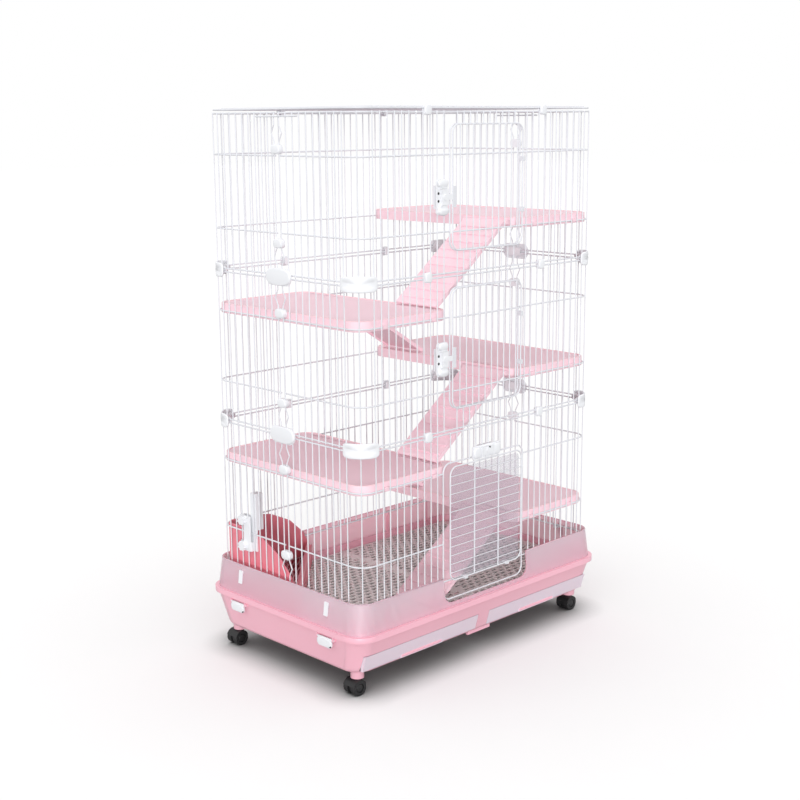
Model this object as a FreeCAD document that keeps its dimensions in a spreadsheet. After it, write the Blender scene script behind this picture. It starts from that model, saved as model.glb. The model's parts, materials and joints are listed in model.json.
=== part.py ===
"""Three-tier wire rabbit cage on a castered base with drawers, shelves, ramps and doors.

Frame: +X along the front, +Y to the back, +Z up, origin on the floor under the middle.
All sizes are in millimetres.
"""
import FreeCAD, Part
import math
import os
import types

import Sketcher
from FreeCAD import Placement, Rotation, Vector

SIZES = {
    # Wire tower
    "tower_width": 752.0,
    "tower_depth": 480.0,
    "bend_radius": 37.0,
    "tower_base": 196.0,
    "tier_height": 342.0,
    "rail_end": 4.0,
    "rail_inset": 91.0,
    "rail_wire": 3.5,
    "bar_wire": 2.7,
    "bar_end": 1.5,
    "bar_inset": 3.0,
    "weld_bite": 0.4,
    "front_gaps": 33.0,
    "side_gaps": 9.0,
    "lid_rail_spacing": 120.0,
    # Fold lines in the short sides
    "fold_gap": 16.0,
    "kink_width": 33.0,
    "kink_height": 34.0,
    "kink_low": 41.0,
    "kink_high": 297.0,
    "bush_width": 30.0,
    "bush_height": 20.0,
    "bush_depth": 9.0,
    "bush_low": 70.0,
    "bush_high": 264.0,
    "lock_wire_drop": 11.0,
    "lock_wire_gaps": 2.5,
    # Doors in the front
    "door_gaps": 11.0,
    "door_low": 51.0,
    "door_high": 313.0,
    "door_corner": 20.0,
    "door_out": 8.5,
    "hinge_spread": 110.0,
    "hinge_height": 10.0,
    "hinge_wall": 2.0,
    "lower_gaps": 13.0,
    "lower_frame_drop": 40.0,
    "lower_frame_high": 272.0,
    "lower_door_width": 238.0,
    "lower_door_height": 260.0,
    "lower_door_rungs": 12.0,
    "lower_rung_pitch": 20.0,
    "lower_rung_wire": 2.0,
    "lower_post_spacing": 80.0,
    "lower_hinge_spread": 140.0,
    "sheet_thickness": 1.0,
    "sheet_margin": 6.0,
    # Door locks
    "lock_width": 33.0,
    "lock_height": 73.0,
    "lock_level": 164.0,
    "lock_plate": 3.0,
    "lower_lock_width": 91.0,
    "lower_lock_height": 30.0,
    "lock_slide_width": 18.0,
    "lock_slide_height": 34.0,
    "lock_slide_depth": 6.0,
    "lock_tongue": 8.0,
    "lock_rail": 3.0,
    "lock_grip": 12.6,
    "lock_tongue_width": 11.4,
    "lock_web": 10.0,
    "lock_clamp_height": 48.0,
    "lower_clamp_width": 45.0,
    "lock_dot": 5.0,
    "lock_dot_inset": 6.5,
    "lower_dot_inset": 8.0,
    "keeper_width": 10.0,
    "keeper_height": 44.0,
    # Tier clips
    "clip_pad": 3.0,
    "clip_web": 2.4,
    "corner_clip_height": 35.0,
    "corner_clip_arm": 14.0,
    "side_clip_width": 80.0,
    "side_clip_height": 37.0,
    "joint_clip_width": 20.0,
    "joint_clip_height": 22.0,
    # Guard ring and its tabs
    "guard_low_width": 799.0,
    "guard_low_depth": 507.0,
    "guard_top_width": 783.0,
    "guard_top_depth": 497.0,
    "guard_corner": 42.0,
    "guard_top": 210.0,
    "guard_wall": 3.0,
    "notch_width": 280.0,
    "notch_bottom": 152.0,
    "notch_corner": 25.0,
    "guard_rib": 4.0,
    "tab_width": 12.0,
    "tab_height": 30.0,
    "tab_thickness": 2.5,
    "tab_stub": 6.0,
    "tab_gaps": 6.5,
    # Base
    "rim_width": 815.0,
    "rim_depth": 523.0,
    "rim_corner": 48.0,
    "rim_bottom": 131.0,
    "rim_top": 143.0,
    "base_top_width": 801.0,
    "base_top_depth": 507.0,
    "base_low_width": 775.0,
    "base_low_depth": 463.0,
    "base_corner": 42.0,
    "base_bottom": 54.0,
    "base_wall": 3.0,
    "base_chamfer": 5.0,
    "divider_width": 36.0,
    "grid_top": 128.0,
    "grid_thickness": 4.0,
    "ledge_width": 10.0,
    "foot_tab_width": 75.0,
    "foot_tab_drop": 9.0,
    # Floor lattice
    "slot_length": 17.0,
    "slot_width": 10.0,
    "slot_pitch_x": 23.0,
    "slot_pitch_y": 15.5,
    "grid_margin": 8.0,
    "grid_corner": 28.0,
    # Drawers
    "drawer_outer": 372.0,
    "drawer_front_low": 58.0,
    "drawer_front_high": 94.0,
    "drawer_wall": 2.5,
    "drawer_corner": 14.0,
    "drawer_front": 4.0,
    "drawer_back": 222.0,
    "drawer_gap": 1.0,
    "drawer_lip_width": 130.0,
    "drawer_lip_height": 7.0,
    "drawer_lip_out": 3.0,
    # Base latches
    "latch_width": 47.0,
    "latch_height": 22.0,
    "latch_thickness": 3.0,
    "latch_corner": 9.0,
    "latch_barrel": 5.0,
    "latch_pin": 3.0,
    "latch_pivot_z": 122.0,
    "latch_pivot_out": 403.5,
    "latch_y": 150.0,
    "lug_thickness": 4.0,
    # Casters
    "caster_x": 360.0,
    "caster_y": 203.0,
    "boss_width": 30.0,
    "boss_bottom": 36.0,
    "wheel_diameter": 34.0,
    "wheel_width": 12.5,
    "wheel_recess": 20.0,
    "wheel_recess_depth": 3.0,
    "fin_width": 9.0,
    "fin_diameter": 27.0,
    "caster_trail": 8.0,
    "hood_diameter": 36.4,
    "hood_wall": 0.7,
    "axle_diameter": 5.0,
    "stem_diameter": 8.0,
    "stem_collar": 16.0,
    # Shelves and ramps
    "shelf_inner": 108.0,
    "shelf_gap": 1.25,
    "shelf_above_rail": 15.0,
    "shelf_plate": 3.0,
    "shelf_lip": 21.0,
    "shelf_slot_length": 115.0,
    "shelf_slot_width": 8.0,
    "shelf_slot_inset": 12.0,
    "hook_width": 12.0,
    "hook_height": 3.5,
    "hook_drop": 4.0,
    "ramp_length": 280.0,
    "ramp_width": 123.0,
    "ramp_plate": 4.0,
    "ramp_flange": 8.0,
    "ramp_flange_wall": 3.0,
    "ramp_treads": 10.0,
    "ramp_tread_pitch": 26.0,
    "ramp_tread_width": 5.0,
    "ramp_tread_height": 2.5,
    "ramp_y": 149.5,
    "ramp_pin": 6.0,
    "ramp_barrel": 11.0,
    "ramp_pivot_out": 8.0,
    "ramp_pivot_drop": 9.0,
    "ramp_foot_gap": 0.3,
    # Litter pan and its clamp
    "pan_leg": 262.0,
    "pan_height": 164.0,
    "pan_lip_height": 47.0,
    "pan_wall": 3.0,
    "pan_front": 10.0,
    "pan_nose": 10.0,
    "pan_inset": 6.5,
    "grate_height": 24.0,
    "grate_thickness": 3.0,
    "grate_hole": 11.0,
    "grate_pitch": 16.0,
    "grate_foot": 8.0,
    "clamp_low": 246.0,
    "clamp_high": 328.0,
    "clamp_width": 46.0,
    "clamp_plate": 4.0,
    "clamp_ear": 22.0,
    "clamp_bar": 23.0,
    "clamp_post": 20.0,
    "clamp_post_top": 381.0,
    "knob_diameter": 23.0,
    "knob_height": 8.0,
    "knob_screw": 5.0,
    "knob_spread": 61.0,
    "knob_flute": 4.6,
    # Clearances
    "rest_gap": 0.1,
    "seat_gap": 0.3,
    "running_gap": 0.06,
    "slide_gap": 0.5,
}

doc = FreeCAD.newDocument("rabbit_cage")
sheet = doc.addObject("Spreadsheet::Sheet", "Dims")


def text_of(value):
    """The expression text of a size or of a plain number."""
    return value.text if isinstance(value, Size) else repr(float(value))


def number_of(value):
    """The number of a size or of a plain number."""
    return value.number if isinstance(value, Size) else float(value)


class Size:
    """A length or angle, kept as a number and as an expression on the sheet."""

    def __init__(self, text, number):
        self.text = text
        self.number = number

    def __add__(self, other):
        return Size(f"({self.text} + {text_of(other)})", self.number + number_of(other))

    def __sub__(self, other):
        return Size(f"({self.text} - {text_of(other)})", self.number - number_of(other))

    def __mul__(self, other):
        return Size(f"({self.text} * {text_of(other)})", self.number * number_of(other))

    def __truediv__(self, other):
        return Size(f"({self.text} / {text_of(other)})", self.number / number_of(other))

    def __radd__(self, other):
        return self + other

    def __rmul__(self, other):
        return self * other

    def __rsub__(self, other):
        return Size(f"({text_of(other)} - {self.text})", number_of(other) - self.number)

    def __neg__(self):
        return Size(f"(0 - {self.text})", -self.number)


def arcsine(ratio):
    """The angle in degrees whose sine is the ratio."""
    return Size(f"asin({ratio.text})", math.degrees(math.asin(ratio.number)))


def fill_sheet():
    """Write the driving sizes into the sheet and hand them back as sizes."""
    found = types.SimpleNamespace()
    for row, (name, value) in enumerate(SIZES.items(), start=1):
        sheet.set(f"A{row}", name)
        sheet.set(f"B{row}", str(value))
        sheet.setAlias(f"B{row}", name)
        setattr(found, name, Size(f"Dims.{name}", value))
    doc.recompute()
    return found


d = fill_sheet()

# Sizes that follow from the driving ones
rail_r = d.rail_wire / 2
bar_r = d.bar_wire / 2
bar_out = rail_r + bar_r - d.weld_bite
bar_face = bar_out + bar_r
half_width = d.tower_width / 2
half_depth = d.tower_depth / 2
flat_x = half_width - d.bend_radius
flat_y = half_depth - d.bend_radius
front_gap = (flat_x - d.bar_inset) * 2 / d.front_gaps
side_gap = (flat_y - d.bar_inset - d.fold_gap / 2) / d.side_gaps
rail_levels = (d.rail_end, d.rail_inset, d.tier_height - d.rail_inset, d.tier_height - d.rail_end)
tier_levels = tuple(d.tower_base + d.tier_height * tier for tier in range(3))
joint_levels = tier_levels[1:]
tower_top = d.tower_base + d.tier_height * 3
TIERS = ("lower", "middle", "upper")

# Places along the front, in gaps between bars from the middle
RIB_GAPS = (-15, -8, 8, 15)
HOOK_GAPS = {"inner": 8, "outer": 15}
FRONT_CLIP_GAPS = 9
BACK_CLIP_GAPS = 8

# The pan's swept top edge, as shares of its depth and of its height
PAN_SWEEP = ((0.30, 1.0), (0.52, 0.93), (0.74, 0.76), (0.90, 0.52))
PAN_LIP_START = 0.97


def bind(obj, name, value):
    """Tie a property of an object to a size."""
    obj.setExpression(name, text_of(value))


def place(obj, x=0.0, y=0.0, z=0.0):
    """Tie an object's place to three sizes."""
    for axis, value in zip("xyz", (x, y, z)):
        bind(obj, f"Placement.Base.{axis}", value)
    return obj


def copy_of(name, source, x=0.0, y=0.0, z=0.0, turn=0.0):
    """A linked copy of a piece, turned about Z by plain degrees and then moved."""
    link = doc.addObject("App::Link", name)
    link.LinkedObject = source
    link.LinkTransform = True
    link.Placement = Placement(Vector(), Rotation(Vector(0, 0, 1), turn))
    return place(link, x, y, z)


def group(name, pieces):
    """Several separate solids under one name."""
    compound = doc.addObject("Part::Compound", name)
    compound.Links = pieces
    return compound


def new_body(name):
    """An empty body of features."""
    return doc.addObject("PartDesign::Body", name)


PLANES = {"X": "YZ_Plane", "Y": "XZ_Plane", "Z": "XY_Plane"}


def new_sketch(body, name, axis, level):
    """A sketch square to an axis of the body, at a level along it."""
    sketch = body.newObject("Sketcher::SketchObject", name)
    plane = next(feature for feature in body.Origin.OriginFeatures if feature.Role == PLANES[axis])
    sketch.AttachmentSupport = (plane, "")
    sketch.MapMode = "FlatFace"
    bind(sketch, "AttachmentOffset.Base.z", -level if axis == "Y" else level)
    return sketch


def hold(sketch, kind, value, *targets):
    """Add one sized constraint and tie it to its size."""
    index = sketch.addConstraint(Sketcher.Constraint(kind, *targets, number_of(value)))
    sketch.setExpression(f"Constraints[{index}]", text_of(value))


def pin(sketch, curve, point, x, y):
    """Hold a point of a sketch curve at a place."""
    hold(sketch, "DistanceX", x, -1, 1, curve, point)
    hold(sketch, "DistanceY", y, -1, 1, curve, point)


def at(x, y):
    """The numeric point of two sizes."""
    return Vector(number_of(x), number_of(y), 0)


def draw_circles(sketch, centres, diameter):
    """Circles of one diameter round several centres."""
    for x, y in centres:
        curve = sketch.addGeometry(Part.Circle(at(x, y), Vector(0, 0, 1), number_of(diameter) / 2))
        pin(sketch, curve, 3, x, y)
        hold(sketch, "Diameter", diameter, curve)


def draw_path(sketch, points, closed=True):
    """Straight lines through points, closed to an outline or left open."""
    starts = points if closed else points[:-1]
    ends = points[1:] + points[:1] if closed else points[1:]
    first = sketch.GeometryCount
    for start, end in zip(starts, ends):
        sketch.addGeometry(Part.LineSegment(at(*start), at(*end)))
    for index, start in enumerate(starts):
        pin(sketch, first + index, 1, *start)
        if closed or index + 1 < len(starts):
            following = first + (index + 1) % len(starts)
            sketch.addConstraint(Sketcher.Constraint("Coincident", first + index, 2, following, 1))
    if not closed:
        pin(sketch, first + len(starts) - 1, 2, *points[-1])


def draw_rounded(sketch, low, high, radius):
    """A rectangle between two corners with its four corners rounded."""
    (x0, y0), (x1, y1) = low, high
    centres = (
        (x1 - radius, y0 + radius),
        (x1 - radius, y1 - radius),
        (x0 + radius, y1 - radius),
        (x0 + radius, y0 + radius),
    )
    quarter = math.pi / 2
    first = sketch.GeometryCount
    for index, (x, y) in enumerate(centres):
        circle = Part.Circle(at(x, y), Vector(0, 0, 1), number_of(radius))
        sketch.addGeometry(Part.ArcOfCircle(circle, (index - 1) * quarter, index * quarter))
    for index in range(4):
        arc = sketch.Geometry[first + index]
        after = sketch.Geometry[first + (index + 1) % 4]
        sketch.addGeometry(Part.LineSegment(arc.EndPoint, after.StartPoint))
    for index, (x, y) in enumerate(centres):
        arc = first + index
        line = first + 4 + index
        after = first + (index + 1) % 4
        first_way, second_way = ("Vertical", "Horizontal") if index % 2 == 0 else ("Horizontal", "Vertical")
        pin(sketch, arc, 3, x, y)
        hold(sketch, "Radius", radius, arc)
        sketch.addConstraint(Sketcher.Constraint(first_way, arc, 3, arc, 1))
        sketch.addConstraint(Sketcher.Constraint(second_way, arc, 3, arc, 2))
        sketch.addConstraint(Sketcher.Constraint("Coincident", arc, 2, line, 1))
        sketch.addConstraint(Sketcher.Constraint("Coincident", line, 2, after, 1))


def prism(body, name, kind, axis, start, stop, draw):
    """Add (Pad) or cut (Pocket) a drawn outline along an axis between two levels."""
    sketch = new_sketch(body, f"{name}_outline", axis, (start + stop) / 2)
    draw(sketch)
    feature = body.newObject(f"PartDesign::{kind}", name)
    feature.Profile = sketch
    feature.Midplane = True
    bind(feature, "Length", stop - start)
    return feature


def block(body, name, kind, low, high):
    """Add or cut a block between two corners."""
    (x0, y0, z0), (x1, y1, z1) = low, high
    outline = [(x0, y0), (x1, y0), (x1, y1), (x0, y1)]
    return prism(body, name, kind, "Z", z0, z1, lambda sketch: draw_path(sketch, outline))


def rods(body, name, axis, centres, diameter, start, stop, kind="Pad"):
    """Add or cut round rods along an axis."""
    return prism(body, name, kind, axis, start, stop, lambda sketch: draw_circles(sketch, centres, diameter))


def row_of(body, name, feature, along, length, count):
    """Repeat a feature evenly along its sketch's first (H) or second (V) axis."""
    pattern = body.newObject("PartDesign::LinearPattern", name)
    pattern.Originals = [feature]
    pattern.Direction = (feature.Profile[0], [f"{along}_Axis"])
    bind(pattern, "Length", length)
    bind(pattern, "Occurrences", count)
    body.Tip = pattern
    return pattern


def loop_of_wire(body, name, axis, level, low, high, radius, diameter):
    """A closed rounded rectangle of round wire, in the plane square to an axis."""
    spine = new_sketch(body, f"{name}_spine", axis, level)
    draw_rounded(spine, low, high, radius)
    centre_across = (low[0] + high[0]) / 2
    profile_axis = "Y" if axis == "X" else "X"
    profile = new_sketch(body, f"{name}_section", profile_axis, centre_across)
    centre = (level, low[1]) if axis == "Y" else (low[1], level)
    draw_circles(profile, [centre], diameter)
    pipe = body.newObject("PartDesign::AdditivePipe", name)
    pipe.Profile = profile
    pipe.Spine = spine
    return pipe


def loft(body, name, kind, sections):
    """Add or cut a straight-sided loft between rounded rectangles (half sizes, corner, level)."""
    sketches = []
    for index, (half_x, half_y, corner, level) in enumerate(sections):
        sketch = new_sketch(body, f"{name}_section_{index}", "Z", level)
        draw_rounded(sketch, (-half_x, -half_y), (half_x, half_y), corner)
        sketches.append(sketch)
    feature = body.newObject(f"PartDesign::{kind}", name)
    feature.Profile = sketches[0]
    feature.Sections = sketches[1:]
    feature.Ruled = True
    return feature


nodes = {}


def add_node(label, obj):
    """Name a finished piece, which is written to the file of that name."""
    obj.Label = label
    nodes[label] = obj


# Wire tower


def wire_bars(body, name, first_x, length, count, low, high):
    """A row of upright bars welded outside the rails."""
    bar = rods(body, f"{name}_first", "Z", [(first_x, -bar_out)], d.bar_wire, low, high)
    return row_of(body, name, bar, "H", length, count)


def plain_panel():
    """A flat panel of rails and bars, in its own frame with its outside towards -Y."""
    body = new_body("plain_panel")
    rods(body, "rails", "X", [(0.0, level) for level in rail_levels], d.rail_wire, -flat_x, flat_x)
    first = -front_gap * d.front_gaps / 2
    count = d.front_gaps + 1
    wire_bars(body, "bars", first, -first * 2, count, d.bar_end, d.tier_height - d.bar_end)
    return body


def hinge_sleeve(body, name, axis, across, level):
    """A strap from the panel's wire to a sleeve round the door's own wire, at a level along the axis."""
    reach = rail_r + d.hinge_wall
    start = level - d.hinge_height / 2
    stop = level + d.hinge_height / 2
    door_y = -d.door_out
    if axis == "Z":
        low = (across - reach, door_y - reach, start)
        high = (across + reach, 0.0, stop)
        centre = (across, door_y)
    else:
        low = (start, door_y - reach, across - reach)
        high = (stop, 0.0, across + reach)
        centre = (door_y, across)
    block(body, f"{name}_strap", "Pad", low, high)
    bore = d.rail_wire + d.running_gap * 2
    rods(body, f"{name}_bore", axis, [centre], bore, start, stop, kind="Pocket")


def split_rails(body, side_x):
    """Full rails at the ends of a tier, and middle rails butted against the opening's frame."""
    ends = [(0.0, rail_levels[0]), (0.0, rail_levels[3])]
    middle = [(0.0, rail_levels[1]), (0.0, rail_levels[2])]
    butt = side_x + rail_r - d.weld_bite
    rods(body, "end_rails", "X", ends, d.rail_wire, -flat_x, flat_x)
    rods(body, "left_rails", "X", middle, d.rail_wire, -flat_x, -butt)
    rods(body, "right_rails", "X", middle, d.rail_wire, butt, flat_x)


def side_bars(body, gaps):
    """Full bars to the left and right of an opening that takes a number of gaps."""
    first = -front_gap * d.front_gaps / 2
    count = (d.front_gaps - gaps) / 2
    run = front_gap * (count - 1)
    high = d.tier_height - d.bar_end
    wire_bars(body, "left_bars", first, run, count, d.bar_end, high)
    wire_bars(body, "right_bars", -first - run, run, count, d.bar_end, high)


def door_panel():
    """The front panel of the middle and upper tiers, with a framed opening for its door."""
    body = new_body("door_panel")
    side_x = front_gap * d.door_gaps / 2
    split_rails(body, side_x)
    low = (-side_x, d.door_low)
    high = (side_x, d.door_high)
    loop_of_wire(body, "frame", "Y", 0.0, low, high, d.door_corner, d.rail_wire)
    side_bars(body, d.door_gaps)
    inner_run = front_gap * (d.door_gaps - 2)
    inner_count = d.door_gaps - 1
    first = -inner_run / 2
    wire_bars(body, "sill_bars", first, inner_run, inner_count, d.bar_end, d.door_low + rail_r)
    top = d.tier_height - d.bar_end
    wire_bars(body, "head_bars", first, inner_run, inner_count, d.door_high - rail_r, top)
    middle = (d.door_low + d.door_high) / 2
    hinge_sleeve(body, "low_hinge", "Z", side_x, middle - d.hinge_spread / 2)
    hinge_sleeve(body, "high_hinge", "Z", side_x, middle + d.hinge_spread / 2)
    return body


def lower_panel():
    """The front panel of the lower tier, whose opening frame drops into the guard's notch."""
    body = new_body("lower_panel")
    side_x = front_gap * d.lower_gaps / 2
    split_rails(body, side_x)
    low = (-side_x, -d.lower_frame_drop)
    high = (side_x, d.lower_frame_high)
    loop_of_wire(body, "frame", "Y", 0.0, low, high, d.door_corner, d.rail_wire)
    side_bars(body, d.lower_gaps)
    inner_run = front_gap * (d.lower_gaps - 2)
    top = d.tier_height - d.bar_end
    start = d.lower_frame_high - rail_r
    wire_bars(body, "head_bars", -inner_run / 2, inner_run, d.lower_gaps - 1, start, top)
    hinge_sleeve(body, "left_hinge", "X", d.rail_end, -d.lower_hinge_spread / 2)
    hinge_sleeve(body, "right_hinge", "X", d.rail_end, d.lower_hinge_spread / 2)
    return body


def mitred_wire(body, name, spine_plane, points, section_plane, centre, diameter):
    """Round wire along straight runs that meet in mitred corners; a plane is an axis and a level."""
    spine = new_sketch(body, f"{name}_spine", *spine_plane)
    draw_path(spine, points, closed=False)
    profile = new_sketch(body, f"{name}_section", *section_plane)
    draw_circles(profile, [centre], diameter)
    pipe = body.newObject("PartDesign::AdditivePipe", name)
    pipe.Profile = profile
    pipe.Spine = spine
    pipe.Transition = "Right corner"


def kinked_bar(body, name, side):
    """The end bar of a half panel, with two kinks that leave the fold line."""
    straight = d.fold_gap / 2 * side
    out = d.kink_width / 2 * side
    half = d.kink_height / 2
    points = [(straight, d.bar_end)]
    for middle in (d.kink_low, d.kink_high):
        points += [(straight, middle - half), (out, middle), (straight, middle + half)]
    points.append((straight, d.tier_height - d.bar_end))
    centre = (straight, -bar_out)
    mitred_wire(body, name, ("Y", -bar_out), points, ("Z", d.bar_end), centre, d.bar_wire)


def side_panel():
    """A short side of one tier: two half panels that meet at the fold line."""
    body = new_body("side_panel")
    centres = [(0.0, level) for level in rail_levels]
    inner = d.fold_gap / 2 - bar_r
    run = side_gap * (d.side_gaps - 1)
    high = d.tier_height - d.bar_end
    for name, side in (("left", -1), ("right", 1)):
        ends = sorted((inner * side, flat_y * side), key=number_of)
        rods(body, f"{name}_rails", "X", centres, d.rail_wire, *ends)
        outer_bar = flat_y - d.bar_inset
        first = -outer_bar if side < 0 else outer_bar - run
        wire_bars(body, f"{name}_bars", first, run, d.side_gaps, d.bar_end, high)
        kinked_bar(body, f"{name}_fold_bar", side)
    return body


def corner_post():
    """A bent corner of one tier round its own bend axis: four rail bends and one bar."""
    body = new_body("corner_post")
    section = new_sketch(body, "bend_section", "Y", 0.0)
    draw_circles(section, [(d.bend_radius, level) for level in rail_levels], d.rail_wire)
    bend = body.newObject("PartDesign::Revolution", "bends")
    bend.Profile = section
    bend.ReferenceAxis = (section, ["V_Axis"])
    bend.Angle = 90.0
    reach = (d.bend_radius + bar_out) * math.sqrt(0.5)
    rods(body, "bar", "Z", [(reach, reach)], d.bar_wire, d.bar_end, d.tier_height - d.bar_end)
    return body


def corner_copies(name, source, levels):
    """Copies of a corner piece at the four bends, from the right-hand back bend on, at several levels."""
    corners = ((flat_x, flat_y, 0), (-flat_x, flat_y, 90), (-flat_x, -flat_y, 180), (flat_x, -flat_y, 270))
    copies = []
    for row, level in enumerate(levels):
        for column, (x, y, turn) in enumerate(corners):
            copies.append(copy_of(f"{name}_{row}_{column}", source, x, y, level, turn))
    return copies


def build_tower():
    """The three tiers of wire panels and the lid."""
    plain = plain_panel()
    side = side_panel()
    fronts = (lower_panel(), door_panel())
    for tier, level in zip(TIERS, tier_levels):
        front = fronts[0] if tier == "lower" else fronts[1]
        add_node(f"front_panel_{tier}", copy_of(f"front_{tier}", front, 0.0, -half_depth, level))
        add_node(f"back_panel_{tier}", copy_of(f"back_{tier}", plain, 0.0, half_depth, level, 180))
        right = copy_of(f"right_{tier}", side, half_width, 0.0, level, 90)
        left = copy_of(f"left_{tier}", side, -half_width, 0.0, level, -90)
        add_node(f"side_panels_{tier}", group(f"sides_{tier}", [left, right]))
    posts = corner_copies("post", corner_post(), tier_levels)
    add_node("lower_post_right_back", posts[0])
    add_node("lower_post_right_front", posts[3])
    add_node("corner_posts", group("posts", posts[1:3] + posts[4:]))
    add_node("top_lid", top_lid())


def top_lid():
    """The flat wire lid: a rounded frame, rails along the front and bars across the depth."""
    body = new_body("lid")
    level = tower_top + d.rail_end
    low = (-half_width, -half_depth)
    high = (half_width, half_depth)
    loop_of_wire(body, "frame", "Z", level, low, high, d.bend_radius, d.rail_wire)
    rails = [(-d.lid_rail_spacing, level), (0.0, level), (d.lid_rail_spacing, level)]
    rods(body, "rails", "X", rails, d.rail_wire, -half_width, half_width)
    first = -front_gap * d.front_gaps / 2
    bar = rods(body, "first_bar", "Y", [(first, level + bar_out)], d.bar_wire, -half_depth, half_depth)
    row_of(body, "bars", bar, "H", -first * 2, d.front_gaps + 1)
    return body


# Clips, bushes and lock wires of the tower


def clip(name, width, height, corner):
    """A clip on a tier joint: an outer pad, a web between the rails and an inner pad."""
    body = new_body(name)
    half = d.clip_web / 2
    outer = -bar_face - d.seat_gap
    inner = rail_r + d.seat_gap
    half_width_of_web = width / 2 - corner

    def pad_outline(sketch):
        draw_rounded(sketch, (-width / 2, -height / 2), (width / 2, height / 2), corner)

    prism(body, "outer_pad", "Pad", "Y", outer - d.clip_pad, outer, pad_outline)
    web_low = (-half_width_of_web, outer - d.clip_pad / 2, -half)
    web_high = (half_width_of_web, inner + d.clip_pad / 2, half)
    block(body, "web", "Pad", web_low, web_high)
    inner_height = height / 2 - corner / 2
    pad_low = (-half_width_of_web, inner, -inner_height)
    pad_high = (half_width_of_web, inner + d.clip_pad, inner_height)
    block(body, "inner_pad", "Pad", pad_low, pad_high)
    return body


def bent_band(name, inner, outer, height, arm):
    """A band that follows a corner bend and runs a little past it both ways."""
    bend = []
    for part, radius in (("outer", outer), ("inner", inner)):
        cylinder = doc.addObject("Part::Cylinder", f"{name}_{part}")
        bind(cylinder, "Radius", radius)
        bind(cylinder, "Height", height)
        cylinder.Angle = 90
        place(cylinder, z=-height / 2)
        bend.append(cylinder)
    ring = doc.addObject("Part::Cut", f"{name}_bend")
    ring.Base, ring.Tool = bend
    arms = []
    for part, x, y, along_x in (("first", -arm, inner, True), ("second", inner, -arm, False)):
        box = doc.addObject("Part::Box", f"{name}_{part}_arm")
        bind(box, "Length", arm if along_x else outer - inner)
        bind(box, "Width", outer - inner if along_x else arm)
        bind(box, "Height", height)
        arms.append(place(box, x, y, -height / 2))
    return [ring] + arms


def corner_clip():
    """A clip that wraps a corner of two tiers, round the bend axis."""
    outer = d.bend_radius + bar_face + d.seat_gap
    inner = d.bend_radius - rail_r - d.seat_gap
    arm = d.corner_clip_arm
    pieces = bent_band("clip_outer", outer, outer + d.clip_pad, d.corner_clip_height, arm)
    pieces += bent_band("clip_web", inner - d.clip_pad / 2, outer + d.clip_pad / 2, d.clip_web, arm)
    pieces += bent_band("clip_inner", inner - d.clip_pad, inner, d.corner_clip_height / 2, arm)
    fused = doc.addObject("Part::MultiFuse", "corner_clip")
    fused.Shapes = pieces
    return fused


def fold_bush():
    """A rounded bush that holds the two end bars of a fold line side by side."""
    body = new_body("fold_bush")
    half = d.bush_width / 2
    corner = d.bush_height / 2 - 1
    low = (-half, -d.bush_height / 2)
    high = (half, d.bush_height / 2)
    start = -bar_out - d.bush_depth / 2
    stop = -bar_out + d.bush_depth / 2
    prism(body, "body", "Pad", "Y", start, stop, lambda sketch: draw_rounded(sketch, low, high, corner))
    bores = [(-d.fold_gap / 2, -bar_out), (d.fold_gap / 2, -bar_out)]
    bore = d.bar_wire + d.running_gap * 2
    rods(body, "bores", "Z", bores, bore, -d.bush_height / 2, d.bush_height / 2, kind="Pocket")
    return body


def lock_wire():
    """A wire across the fold line at the top of a short side, with its ends turned in between bars."""
    body = new_body("lock_wire")
    reach = d.fold_gap / 2 + side_gap * d.lock_wire_gaps
    outer = -bar_face - d.seat_gap - rail_r
    points = [(-reach, rail_r), (-reach, outer), (reach, outer), (reach, rail_r)]
    mitred_wire(body, "wire", ("Z", 0.0), points, ("Y", rail_r), (-reach, 0.0), d.rail_wire)
    return body


def build_tower_fittings():
    """Corner, side and joint clips, fold bushes and lock wires."""
    corner_clips = corner_copies("corner_clip", corner_clip(), joint_levels)
    add_node("corner_clips", group("corner_clip_set", corner_clips))
    side = clip("side_clip", d.side_clip_width, d.side_clip_height, d.side_clip_height / 2 - 1)
    bush = fold_bush()
    wire = lock_wire()
    clips = []
    bushes = []
    wires = []
    for name, x, turn in (("left", -half_width, -90), ("right", half_width, 90)):
        for row, level in enumerate(joint_levels):
            clips.append(copy_of(f"side_clip_{name}_{row}", side, x, 0.0, level, turn))
        for row, level in enumerate(tier_levels):
            for part, height in (("low", d.bush_low), ("high", d.bush_high)):
                bushes.append(copy_of(f"bush_{name}_{row}_{part}", bush, x, 0.0, level + height, turn))
        wires.append(copy_of(f"lock_wire_{name}", wire, x, 0.0, tower_top - d.lock_wire_drop, turn))
    add_node("fold_bushes", group("fold_bush_set", bushes))
    add_node("fold_lock_wires", group("lock_wire_set", wires))
    small = clip("joint_clip", d.joint_clip_width, d.joint_clip_height, d.joint_clip_height / 5)
    rows = (("front", -half_depth, 0, FRONT_CLIP_GAPS), ("back", half_depth, 180, BACK_CLIP_GAPS))
    for row, level in enumerate(joint_levels + (tower_top,)):
        for name, y, turn, gaps in rows:
            for side_name, sign in (("left", -1), ("right", 1)):
                label = f"joint_clip_{row}_{name}_{side_name}"
                clips.append(copy_of(label, small, front_gap * gaps * sign, y, level, turn))
    add_node("panel_clips", group("panel_clip_set", clips))


# Doors and locks


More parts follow.
